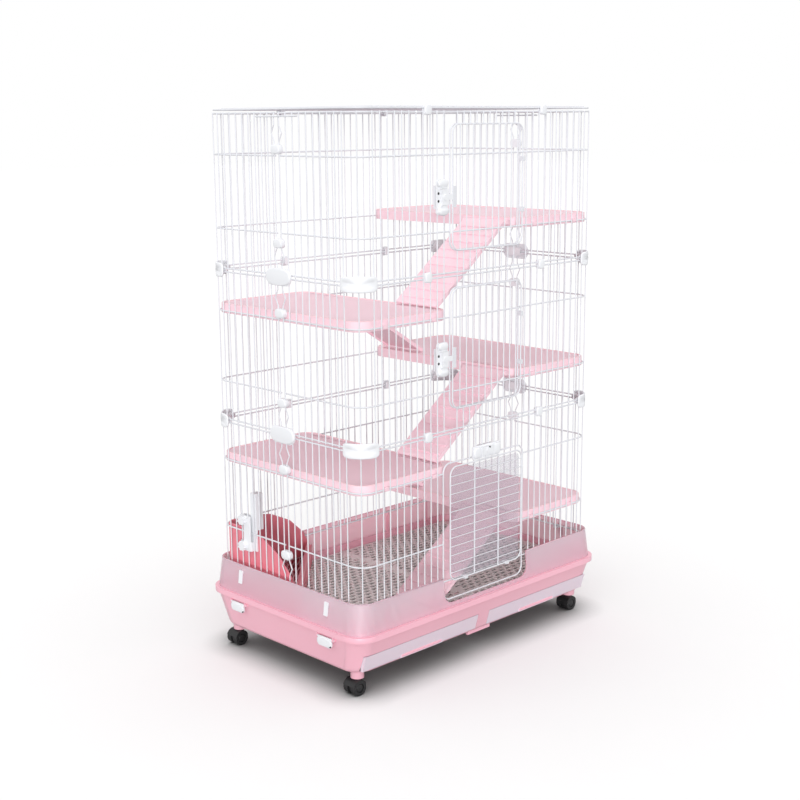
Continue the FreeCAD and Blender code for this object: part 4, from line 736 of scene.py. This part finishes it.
def bead(
    points: Array, normals: Array, level: float, profile: Array, closed: bool = True,
) -> Shape:
    """A profile carried along a flat path.

    Each profile point (u, v) lies at the path's point plus its normal times u, at the level plus v.
    An open bead closes at each end in the middle of its profile.

    Args:
        points: Points of the path in X and Y.
        normals: Outward normals of the path.
        level: Height of the path.
        profile: Points of the profile.
        closed: Whether the path closes on itself.

    Returns:
        The shape.
    """
    flat = points[:, None, :] + normals[:, None, :] * profile[None, :, 0, None]
    up = np.broadcast_to(level + profile[None, :, 1], flat.shape[:2])
    grid = np.concatenate([flat, up[..., None]], axis=-1)
    if closed:
        grid = np.concatenate([grid, grid[:1]])
    else:
        middles = np.broadcast_to(grid.mean(axis=1, keepdims=True), grid.shape)
        grid = np.concatenate([middles[:1], grid, middles[-1:]])
    return Shape(grid.reshape(-1, 3), sheet_faces(len(grid), len(profile)))


# Sub-assemblies

# Signs of X and Y of the cage's upright corners, and the turn in degrees that faces out of each.
CORNERS = ((1, 1, 0.0), (-1, 1, 90.0), (-1, -1, 180.0), (1, -1, 270.0))


@dataclass
class FrameDress:
    """Gives every node of the frame the finish of its slot.

    Args:
        record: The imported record, which says which node has which slot.
        moulded: Starts of the names of the nodes whose edges are rounded.
        edge: Size of the rounding on moulded edges.
        rounds: Facets across the rounding.
        sharp: Angle in degrees past which an edge is rounded.
    """

    record: dict
    moulded: tuple[str, ...] = (
        "base_tray", "drawer_", "shelf_", "ramp_", "base_latch_", "litter_pan", "pan_clamp",
        "guard_tabs", "panel_clips", "fold_bushes", "door_lock_", "lock_slide_",
    )
    edge: float = 0.9 * MM
    rounds: int = 2
    sharp: float = 40.0

    def slots(self) -> dict[str, str]:
        """The slot of each node by name."""
        return {part["node"]: part["material_slot"] for part in self.record["subparts"]}

    def build(self, materials: Materials) -> None:
        """Put the finishes on.

        Args:
            materials: Material by name.
        """
        for name, slot in self.slots().items():
            obj = frame["nodes"][name]
            if not obj.data.materials:
                obj.data.materials.append(materials[slot])
            for index in range(len(obj.data.materials)):
                obj.data.materials[index] = materials[slot]
            if name.startswith(self.moulded):
                self.soften(obj)

    def soften(self, obj: bpy.types.Object) -> None:
        """Round the sharp edges of a moulding a little.

        Args:
            obj: The node's object.
        """
        weld = obj.modifiers.new("weld", "WELD")
        weld.merge_threshold = WELD
        bevel = obj.modifiers.new("soft_edges", "BEVEL")
        bevel.width = self.edge
        bevel.segments = self.rounds
        bevel.limit_method = "ANGLE"
        bevel.angle_limit = math.radians(self.sharp)


@dataclass
class TowerFittings:
    """Crowned pads on the tier clips and the fold bushes, and rounded caps at the corners.

    Args:
        half_width: Half the tower's width to the middle of its rails.
        half_depth: Half the tower's depth to the middle of its rails.
        bend: Radius of the corner bends.
        tiers: Heights of the bottoms of the three tiers.
        top: Height of the tower.
        pad_out: Distance from the rails' middle to the outer face of a clip's pad.
        side_pad: Crowned face of a side clip.
        joint_pad: Crowned face of a small clip on the front or the back.
        front_clip_x: Distance from the middle to a front joint clip.
        back_clip_x: Distance from the middle to a back joint clip.
        bush_levels: Heights of the fold bushes above their tier.
        bush_out: Distance from the rails' middle to the outer face of a bush.
        bush_dome: Domed face of a bush.
        corner_foot: Distance from the rails' middle to the foot of a corner cap.
        inner_foot: Distance from the rails' middle in to the foot of an inner corner pad.
        corner_cap: Outer pad of a corner.
        corner_lining: Inner pad of a corner.
        corner_web: Web from the inner pad's foot into the outer pad.
    """

    half_width: float = 376 * MM
    half_depth: float = 240 * MM
    bend: float = 37 * MM
    tiers: tuple[float, ...] = (196 * MM, 538 * MM, 880 * MM)
    top: float = 1222 * MM
    pad_out: float = 7.35 * MM
    side_pad: Pad = Pad(40 * MM, 18.5 * MM, 3.2 * MM, 2.5, 2.8 * MM, crown=0.25)
    joint_pad: Pad = Pad(9.6 * MM, 10.6 * MM, 2.4 * MM, 3.0, 2.0 * MM, crown=0.2)
    front_clip_x: float = 183.27 * MM
    back_clip_x: float = 162.91 * MM
    bush_levels: tuple[float, ...] = (70 * MM, 264 * MM)
    bush_out: float = 7.2 * MM
    bush_dome: Pad = Pad(13.5 * MM, 8.8 * MM, 2.0 * MM, 2.8, 1.7 * MM, crown=0.3)
    corner_foot: float = 4.35 * MM
    inner_foot: float = 5.05 * MM
    corner_cap: Pad = Pad(10 * MM, 16.2 * MM, 3.6 * MM, 5.5, 2.2 * MM, crown=0.08, steps=96)
    corner_lining: Pad = Pad(10 * MM, 8.7 * MM, 3.0 * MM, 3.4, 1.0 * MM, steps=96)
    corner_web: Pad = Pad(10 * MM, 1.2 * MM, 10.4 * MM, 8.0, 0.3 * MM, steps=96)

    def side_pads(self) -> Shape:
        """The crowned faces of the four side clips.

        Returns:
            The shape.
        """
        out = self.half_width + self.pad_out
        return together([
            self.side_pad.facing(side).moved(out * side.sign, 0.0, level)
            for side in ENDS for level in self.tiers[1:]
        ])

    def joint_pads(self) -> Shape:
        """The crowned faces of the small clips on the front and the back.

        Returns:
            The shape.
        """
        out = self.half_depth + self.pad_out
        clips = ((Side.FRONT, self.front_clip_x), (Side.BACK, self.back_clip_x))
        return together([
            self.joint_pad.facing(face).moved(clip_x * side.sign, out * face.sign, level)
            for level in (*self.tiers[1:], self.top) for side in ENDS for face, clip_x in clips
        ])

    def bush_domes(self) -> Shape:
        """The domed faces of the fold bushes.

        Returns:
            The shape.
        """
        out = self.half_width + self.bush_out
        return together([
            self.bush_dome.facing(side).moved(out * side.sign, 0.0, tier + level)
            for side in ENDS for tier in self.tiers for level in self.bush_levels
        ])

    def corner_caps(self) -> Shape:
        """Caps that wrap the corners of two tiers: an outer pad, an inner pad and a web.

        Returns:
            The shape.
        """
        outer, inner = self.bend + self.corner_foot, self.bend - self.inner_foot
        pads = (self.corner_cap, outer), (self.corner_lining, inner), (self.corner_web, inner)
        clip = together([pad.round_bend(radius) for pad, radius in pads])
        axis_x, axis_y = self.half_width - self.bend, self.half_depth - self.bend
        return together([
            clip.turned(turn).moved(axis_x * x, axis_y * y, level)
            for x, y, turn in CORNERS for level in self.tiers[1:]
        ])

    def build(self, materials: Materials) -> None:
        """Make the pieces.

        Args:
            materials: Material by name.
        """
        slot = "white_plastic"
        white = materials[slot]
        piece("side_clip_crowns", self.side_pads(), Body.CAGE, white)
        piece("joint_clip_crowns", self.joint_pads(), Body.CAGE, white)
        piece("fold_bush_domes", self.bush_domes(), Body.CAGE, white)
        piece("corner_clip_caps", self.corner_caps(), Body.CAGE, white, ("corner_clips",))


@dataclass
class DoorLocks:
    """Caps, thumb pads and screws of the door locks.

    Args:
        plate_x: Middle of the side locks' plates.
        plate_y: Front face of the plates.
        levels: Heights of the two side locks.
        cap: Rounded cap over a side lock.
        cap_rise: Height of the cap above its lock.
        thumb: Round thumb pad under a side lock.
        thumb_shift: Place of the thumb pad from its lock, across and up.
        screw: Screw head of a side lock, nearly flush so that the slide passes over it.
        screw_x: Place of the side locks' screws.
        screw_rise: Distance from a lock's middle up or down to a screw.
        lower_level: Height of the lower lock's plate.
        lobe: Rounded lobe of the lower lock.
        lobe_x: Distance from the middle to a lobe.
        slide_y: Front face of the lower lock's slide.
        slide_screw: Screw head on that slide.
        slide_screw_x: Place of that screw.
    """

    plate_x: float = -142.5 * MM
    plate_y: float = -247.35 * MM
    levels: tuple[float, ...] = (702 * MM, 1044 * MM)
    cap: Pad = Pad(14.5 * MM, 9.0 * MM, 6.0 * MM, 2.6, 4.0 * MM, crown=0.15)
    cap_rise: float = 28.5 * MM
    thumb: Pad = Pad(15.5 * MM, 10.2 * MM, 6.5 * MM, 2.2, 5.5 * MM, crown=0.2)
    thumb_shift: tuple[float, float] = (1.5 * MM, -28.2 * MM)
    screw: Pad = Pad(2.9 * MM, 2.9 * MM, 0.22 * MM, 2.0, 0.1 * MM, steps=24)
    screw_x: float = -153.4 * MM
    screw_rise: float = 8 * MM
    lower_level: float = 478 * MM
    lobe: Pad = Pad(12.5 * MM, 13.0 * MM, 5.0 * MM, 2.6, 4.0 * MM, crown=0.15)
    lobe_x: float = 31.5 * MM
    slide_y: float = -253.65 * MM
    slide_screw: Pad = Pad(2.7 * MM, 2.7 * MM, 1.0 * MM, 2.0, 0.6 * MM, steps=24)
    slide_screw_x: float = 4.0 * MM

    def side_caps(self) -> Shape:
        """A rounded cap over each side lock and a round thumb pad under it.

        Returns:
            The shape.
        """
        shift_x, shift_z = self.thumb_shift
        places = ((self.cap, 0.0, self.cap_rise), (self.thumb, shift_x, shift_z))
        return together([
            pad.facing(Side.FRONT).moved(self.plate_x + x, self.plate_y, level + z)
            for level in self.levels for pad, x, z in places
        ])

    def lower_lobes(self) -> Shape:
        """The two rounded lobes of the lower lock."""
        lobe = self.lobe.facing(Side.FRONT).moved(0.0, self.plate_y, self.lower_level)
        return together([lobe.moved(side.sign * self.lobe_x) for side in ENDS])

    def screws(self) -> Shape:
        """Two dark screw heads on each side lock.

        Returns:
            The shape.
        """
        head = self.screw.facing(Side.FRONT).moved(self.screw_x, self.plate_y)
        return together([
            head.moved(z=level + step)
            for level in self.levels for step in (-self.screw_rise, self.screw_rise)
        ])

    def lower_screw(self) -> Shape:
        """The dark screw head on the lower lock's slide."""
        level = self.lower_level + self.screw_rise
        return self.slide_screw.facing(Side.FRONT).moved(self.slide_screw_x, self.slide_y, level)

    def build(self, materials: Materials) -> None:
        """Make the pieces.

        Args:
            materials: Material by name.
        """
        white, dark = materials["white_plastic"], materials["screw_black"]
        piece("side_lock_caps", self.side_caps(), Body.CAGE, white)
        piece("lower_lock_lobes", self.lower_lobes(), Body.CAGE, white)
        piece("side_lock_screws", self.screws(), Body.CAGE, dark)
        piece("lower_lock_screw", self.lower_screw(), Body.LOCK_LOWER, dark)


@dataclass
class BaseTrim:
    """Latch pads, drawer pulls and the rolled edge of the guard.

    Args:
        latch_out: Distance from the middle to the outer face of a latch.
        latch_y: Distance from the middle to a latch.
        latch_level: Middle height of a latch's plate.
        latch_pad: Crowned pad on a latch.
        catch: Dark catch on a latch.
        catch_shift: Place of the catch from the pad's middle, along Y and up.
        pull: Finger strip of a drawer.
        pull_x: Distance from the middle to a drawer's pull.
        pull_y: Foot of the pull.
        pull_level: Middle height of the pull.
        guard_half: Half sizes of the guard's top edge.
        guard_corner: Corner radius of the guard.
        guard_top: Height of the guard.
        notch: Half the width of the guard's notch.
        roll: Half width and half height of the guard's rolled edge.
        roll_inset: Distance from the guard's outside in to the middle of the roll.
    """

    latch_out: float = 406 * MM
    latch_y: float = 150 * MM
    latch_level: float = 112.2 * MM
    latch_pad: Pad = Pad(22.0 * MM, 8.9 * MM, 1.1 * MM, 2.6, 0.9 * MM, crown=0.2)
    catch: Pad = Pad(3.6 * MM, 2.6 * MM, 1.0 * MM, 2.4, 0.6 * MM, steps=24)
    catch_shift: tuple[float, float] = (-18.5 * MM, -5.5 * MM)
    pull: Pad = Pad(64 * MM, 4.2 * MM, 3.6 * MM, 5.0, 2.6 * MM, crown=0.1, steps=96)
    pull_x: float = 195.5 * MM
    pull_y: float = -232.2 * MM
    pull_level: float = 61.8 * MM
    guard_half: tuple[float, float] = (391.5 * MM, 248.5 * MM)
    guard_corner: float = 42 * MM
    guard_top: float = 210 * MM
    notch: float = 140.5 * MM
    roll: tuple[float, float] = (2.1 * MM, 1.6 * MM)
    roll_inset: float = 1.5 * MM

    def latches(self, white: bpy.types.Material, dark: bpy.types.Material) -> None:
        """Make a crowned pad and a dark catch on each latch.

        Args:
            white: The pads' material.
            dark: The catches' material.
        """
        for side in ENDS:
            for face in FACES:
                body = f"base_latch_{side.word}_{face.word}"
                place = (self.latch_out * side.sign, self.latch_y * face.sign, self.latch_level)
                pad = self.latch_pad.facing(side).moved(*place)
                piece(f"{body}_pad", pad, body, white)
                catch = self.catch.facing(side).moved(*place).moved(0.0, *self.catch_shift)
                piece(f"{body}_catch", catch, body, dark)

    def pulls(self, material: bpy.types.Material) -> None:
        """Make a finger strip along the lower edge of each drawer.

        Args:
            material: The strips' material.
        """
        strip = self.pull.facing(Side.FRONT).moved(0.0, self.pull_y, self.pull_level)
        for side in ENDS:
            body = f"drawer_{side.word}"
            shape = strip.moved(self.pull_x * side.sign)
            piece(f"{body}_pull", shape, body, material)

    def guard_edge(self) -> Shape:
        """The rolled top edge of the guard, from one side of its notch round to the other.

        Returns:
            The shape.
        """
        sizes = np.array([*self.guard_half, self.guard_corner]) - self.roll_inset
        points, normals = rounded_loop(*sizes)
        ends = np.array([[self.notch, points[0, 1]], [-self.notch, points[0, 1]]])
        points = np.concatenate([ends[:1], points, ends[1:]])
        normals = np.concatenate([normals[:1], normals, normals[-1:]])
        return bead(points, normals, self.guard_top, oval(*self.roll), closed=False)

    def build(self, materials: Materials) -> None:
        """Make the pieces.

        Args:
            materials: Material by name.
        """
        self.latches(materials["white_plastic"], materials["screw_black"])
        self.pulls(materials["pink_plastic"])
        milky = materials["milky_plastic"]
        piece("guard_rolled_edge", self.guard_edge(), Body.CAGE, milky)


@dataclass
class PanNetting:
    """The litter pan's netting, in the pan's own frame: X from its corner to its low front.

    Args:
        corner: The pan's corner in X and Y.
        turn: Degrees that the pan's frame is turned about Z.
        tip: Distance from the corner to the blunt end of the netting's rim.
        front: Distance from the corner to its front rim.
        inset: What the walls and the rim take off its half breadth.
        level: Height of the strands' middle.
        pitch: Distance from strand to strand.
        lean: Degrees that the strands lean from the front rim, to either side.
        strand: Half width and half height of a strand.
        strand_steps: Points round a strand.
        rim: Half width and half height of the rim.
        foot: A foot, from the pan's floor to the strands' middle.
        foot_inset: Distance from the blunt end or the front rim in to a foot.
        foot_side: Distance from a front corner in to a foot.
    """

    corner: tuple[float, float] = (-369.5 * MM, 233.5 * MM)
    turn: float = -45.0
    tip: float = 16.2 * MM
    front: float = 172.0 * MM
    inset: float = 9.4 * MM
    level: float = 153.8 * MM
    pitch: float = 10.5 * MM
    lean: float = 7.5
    strand: tuple[float, float] = (1.2 * MM, 1.3 * MM)
    strand_steps: int = 8
    rim: tuple[float, float] = (2.1 * MM, 1.45 * MM)
    foot: Pad = Pad(3.6 * MM, 3.6 * MM, 22.2 * MM, 4.0, 0.4 * MM, crown=0.0, steps=24)
    foot_inset: float = 3 * MM
    foot_side: float = 22 * MM

    def corners(self) -> Array:
        """The four corners of the rim's middle line.

        Returns:
            One row of two numbers per corner.
        """
        tip, front = self.tip, self.front
        blunt, wide = tip - self.inset, front - self.inset
        return np.array([(tip, -blunt), (front, -wide), (front, wide), (tip, blunt)])

    def strands(self, lean: float) -> list[Shape]:
        """Strands that cross the netting side by side.

        Each is the line n . p = c, cut where it leaves the rim: for each edge g . p <= h, the line
        p = c n + t u keeps t (g . u) <= h - c (g . n).

        Args:
            lean: Degrees that they lean from the front rim.

        Returns:
            One bead for each strand.
        """
        turn = math.radians(lean)
        along = np.array([math.sin(turn), math.cos(turn)])
        across = np.array([math.cos(turn), -math.sin(turn)])
        edges = np.array([(-1.0, 0.0), (1.0, 0.0), (-1.0, 1.0), (-1.0, -1.0)])
        limits = np.array([-self.tip, self.front, -self.inset, -self.inset])
        farthest = np.linalg.norm(self.corners(), axis=1).max()
        offset = np.arange(-self.front, farthest, self.pitch)[:, None]
        room = (limits - offset * (edges @ across)) / (edges @ along)
        last = np.where(edges @ along > 0.0, room, np.inf).min(axis=1, keepdims=True)
        first = np.where(edges @ along < 0.0, room, -np.inf).max(axis=1, keepdims=True)
        kept = (last - first > self.pitch).ravel()
        starts = (offset * across + first * along)[kept]
        ends = (offset * across + last * along)[kept]
        profile = oval(*self.strand, steps=self.strand_steps)
        normals = np.array([across, across])
        return [
            bead(np.array(run), normals, self.level, profile, closed=False)
            for run in zip(starts, ends)
        ]

    def rims(self) -> list[Shape]:
        """Thicker beads along the edges of the netting.

        Returns:
            One bead for each edge.
        """
        corners = self.corners()
        shapes = []
        for start, end in zip(corners, np.roll(corners, -1, axis=0)):
            run = (end - start) / np.linalg.norm(end - start)
            normals = np.array([(run[1], -run[0])] * 2)
            points = np.array([start, end])
            shapes.append(bead(points, normals, self.level, oval(*self.rim), closed=False))
        return shapes

    def feet(self) -> list[Shape]:
        """Three feet that stand on the pan's floor.

        Returns:
            One shape for each foot.
        """
        foot = self.foot.shape().moved(z=self.level - self.foot.height)
        near, side = self.front - self.foot_inset, self.front - self.inset - self.foot_side
        places = ((self.tip + self.foot_inset, 0.0), (near, side), (near, -side))
        return [foot.moved(*place) for place in places]

    def build(self, materials: Materials) -> None:
        """Make the netting in the place of the pan's lattice.

        Args:
            materials: Material by name.
        """
        slot = "grate_plastic"
        shapes = self.strands(self.lean) + self.strands(-self.lean) + self.rims() + self.feet()
        shape = together(shapes).turned(self.turn).moved(*self.corner)
        piece("pan_netting", shape, Body.LITTER_PAN, materials[slot], ("pan_grate",))


@dataclass
class ShelfTrim:
    """Raised rims round the tops of the shelves.

    Args:
        middle_x: Distance from the cage's middle to a shelf's middle.
        half: Half sizes of a shelf.
        corner: Radius of its corners.
        tops: Heights of the tops, from the lowest, alternately right and left.
        rim: Half width and half height of the rim.
        set_in: Distance from the shelf's edge to the rim.
    """

    middle_x: float = 240.5 * MM
    half: tuple[float, float] = (132.5 * MM, 237 * MM)
    corner: float = 34 * MM
    tops: tuple[float, ...] = (302 * MM, 462 * MM, 644 * MM, 804 * MM, 986 * MM)
    rim: tuple[float, float] = (2.2 * MM, 1.7 * MM)
    set_in: float = 0.1 * MM

    def rims(self) -> Shape:
        """The rims of all the shelves.

        Returns:
            The shape.
        """
        sizes = np.array([*self.half, self.corner]) - (self.rim[0] + self.set_in)
        rim = bead(*rounded_loop(*sizes), 0.0, oval(*self.rim))
        shapes = []
        for index, top in enumerate(self.tops):
            side = Side.RIGHT if index % 2 == 0 else Side.LEFT
            shapes.append(rim.moved(self.middle_x * side.sign, 0.0, top))
        return together(shapes)

    def build(self, materials: Materials) -> None:
        """Make the piece."""
        piece("shelf_rims", self.rims(), Body.CAGE, materials["shelf_edge"])


@dataclass
class CasterTrim:
    """Hub caps in the wheels' recesses.

    Args:
        recess: Depth of the recess in a wheel's face.
        cap: A cap, which ends below the wheel's face.
    """

    recess: float = 3 * MM
    cap: Pad = Pad(8.5 * MM, 8.5 * MM, 2.4 * MM, 2.0, 1.4 * MM, crown=0.25, steps=32)

    def build(self, materials: Materials) -> None:
        """Make a pair of caps per caster.

        Args:
            materials: Material by name.
        """
        slot = "caster_plastic"
        for side in ENDS:
            for face in FACES:
                place = f"{side.word}_{face.word}"
                node = f"caster_wheels_{place}"
                low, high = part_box(node)
                x, z = (low[0] + high[0]) / 2, (low[2] + high[2]) / 2
                near = self.cap.facing(Side.FRONT).moved(x, low[1] + self.recess, z)
                far = self.cap.facing(Side.BACK).moved(x, high[1] - self.recess, z)
                piece(f"{node}_hubs", near + far, f"wheels_{place}", materials[slot])


# Camera and stage


@dataclass
class PhotoCamera:
    """The camera that took in the cage.

    Args:
        place: Where it stands.
        yaw: Degrees from +Y towards +X that it looks.
        pitch: Degrees that it looks up.
        roll: Degrees that it is turned about its own line of sight.
        lens: Focal length, in millimetres.
        sensor: Width of its sensor, in millimetres.
        reach: How far it sees.
    """

    place: tuple[float, float, float] = (-2.174, -2.188, 1.200)
    yaw: float = 44.46
    pitch: float = -11.77
    roll: float = -0.43
    lens: float = 60.3
    sensor: float = 36.0
    reach: float = 100.0

    def build(self) -> None:
        """Add it and make it the scene's camera."""
        data = bpy.data.cameras.new("camera")
        data.lens = self.lens
        data.sensor_width = self.sensor
        data.clip_end = self.reach
        camera = bpy.data.objects.new("camera", data)
        bpy.context.scene.collection.objects.link(camera)
        yaw, pitch = math.radians(self.yaw), math.radians(self.pitch)
        level = math.cos(pitch)
        ahead = Vector((math.sin(yaw) * level, math.cos(yaw) * level, math.sin(pitch)))
        turn = ahead.to_track_quat("-Z", "Y").to_matrix().to_4x4()
        turn = turn @ Matrix.Rotation(math.radians(self.roll), 4, "Z")
        camera.matrix_world = Matrix.Translation(self.place) @ turn
        bpy.context.scene.camera = camera


@dataclass(frozen=True)
class Lamp:
    """A wide distant light.

    Args:
        name: Name of the light.
        towards: Direction towards it.
        strength: Its strength.
        spread: Its spread in degrees, which softens shadows.
    """

    name: str
    towards: tuple[float, float, float]
    strength: float
    spread: float

    def build(self) -> None:
        """Add it to the scene."""
        data = bpy.data.lights.new(self.name, "SUN")
        data.energy = self.strength
        data.angle = math.radians(self.spread)
        lamp = bpy.data.objects.new(self.name, data)
        lamp.rotation_mode = "QUATERNION"
        lamp.rotation_quaternion = Vector(self.towards).to_track_quat("Z", "Y")
        bpy.context.scene.collection.objects.link(lamp)


@dataclass
class Studio:
    """White floor and surround, with soft light from all round, from above and from the front left.

    Args:
        half_floor: Half the size of the floor.
        lamps: The distant lights.
        ambient: Strength of the surround's light.
        floor_tone: Tone of the floor as it is seen.
        floor_bounce: Tone of the floor as it throws light back.
        contact_reach: How near the floor a piece deepens the shadow under it.
    """

    half_floor: float = 30.0
    lamps: tuple[Lamp, ...] = (
        Lamp("overhead", (-0.24, -0.20, 1.0), 0.30, 22.0),
        Lamp("front_fill", (-0.71, -0.70, 0.08), 1.85, 10.0),
    )
    ambient: float = 0.93
    floor_tone: float = 0.98
    floor_bounce: float = 0.20
    contact_reach: float = 0.09

    def world(self) -> None:
        """Surround: white to the camera and in reflections, softer as light."""
        world = bpy.data.worlds.new("surround")
        bpy.context.scene.world = world
        graph = Graph.emptied(world)
        mix = graph.add("MixShader")
        shown = graph.rays("Is Camera Ray", "Is Glossy Ray", "Is Transmission Ray")
        graph.feed(shown, mix.inputs[0])
        for index, strength in enumerate((self.ambient, 1.0), start=1):
            values = {"Color": WHITE, "Strength": strength}
            light = graph.fill(graph.add("Background"), values)
            graph.feed(light.outputs[0], mix.inputs[index])
        graph.fill(graph.add("OutputWorld"), {"Surface": mix.outputs[0]})

    def floor_material(self) -> bpy.types.Material:
        """The floor's finish, with a painted contact shadow where a piece is near it, and darker as
        it throws light back.

        Returns:
            The material.
        """
        material = bpy.data.materials.new("floor_white")
        graph = Graph.emptied(material)
        mix = graph.add("MixShader")
        graph.feed(graph.rays("Is Camera Ray", "Is Glossy Ray"), mix.inputs[0])
        for index, tone in enumerate((self.floor_bounce, self.floor_tone), start=1):
            # Occlusion darkens the floor's colour near pieces: a painted contact shadow.
            values = {"Color": (tone, tone, tone, 1.0), "Distance": self.contact_reach}
            contact_shadow = graph.fill(graph.add("AmbientOcclusion"), values)
            matt = graph.fill(graph.add("BsdfDiffuse"), {"Color": contact_shadow.outputs["Color"]})
            graph.feed(matt.outputs[0], mix.inputs[index])
        graph.fill(graph.add("OutputMaterial"), {"Surface": mix.outputs[0]})
        return material

    def floor(self) -> None:
        """A wide floor that keeps the shadow."""
        size = self.half_floor
        points = [(-size, -size, 0.0), (size, -size, 0.0), (size, size, 0.0), (-size, size, 0.0)]
        mesh = bpy.data.meshes.new("floor")
        mesh.from_pydata(points, [], [(0, 1, 2, 3)])
        mesh.materials.append(self.floor_material())
        obj = bpy.data.objects.new("floor", mesh)
        bpy.context.scene.collection.objects.link(obj)

    def build(self) -> None:
        """Make the whole stage."""
        self.world()
        self.floor()
        for lamp in self.lamps:
            lamp.build()
        bpy.context.scene.view_settings.view_transform = "Standard"


def main() -> None:
    """Dress the frame, add the finer pieces, light them and set the camera."""
    logging.basicConfig(level=logging.INFO, format="%(name)s %(message)s")
    effects = Effects()
    materials = {finish.name: finish.build(effects) for finish in FINISHES}
    FrameDress(frame["record"]).build(materials)
    TowerFittings().build(materials)
    DoorLocks().build(materials)
    BaseTrim().build(materials)
    PanNetting().build(materials)
    ShelfTrim().build(materials)
    CasterTrim().build(materials)
    PhotoCamera().build()
    Studio().build()


if __name__ == "__main__":
    main()
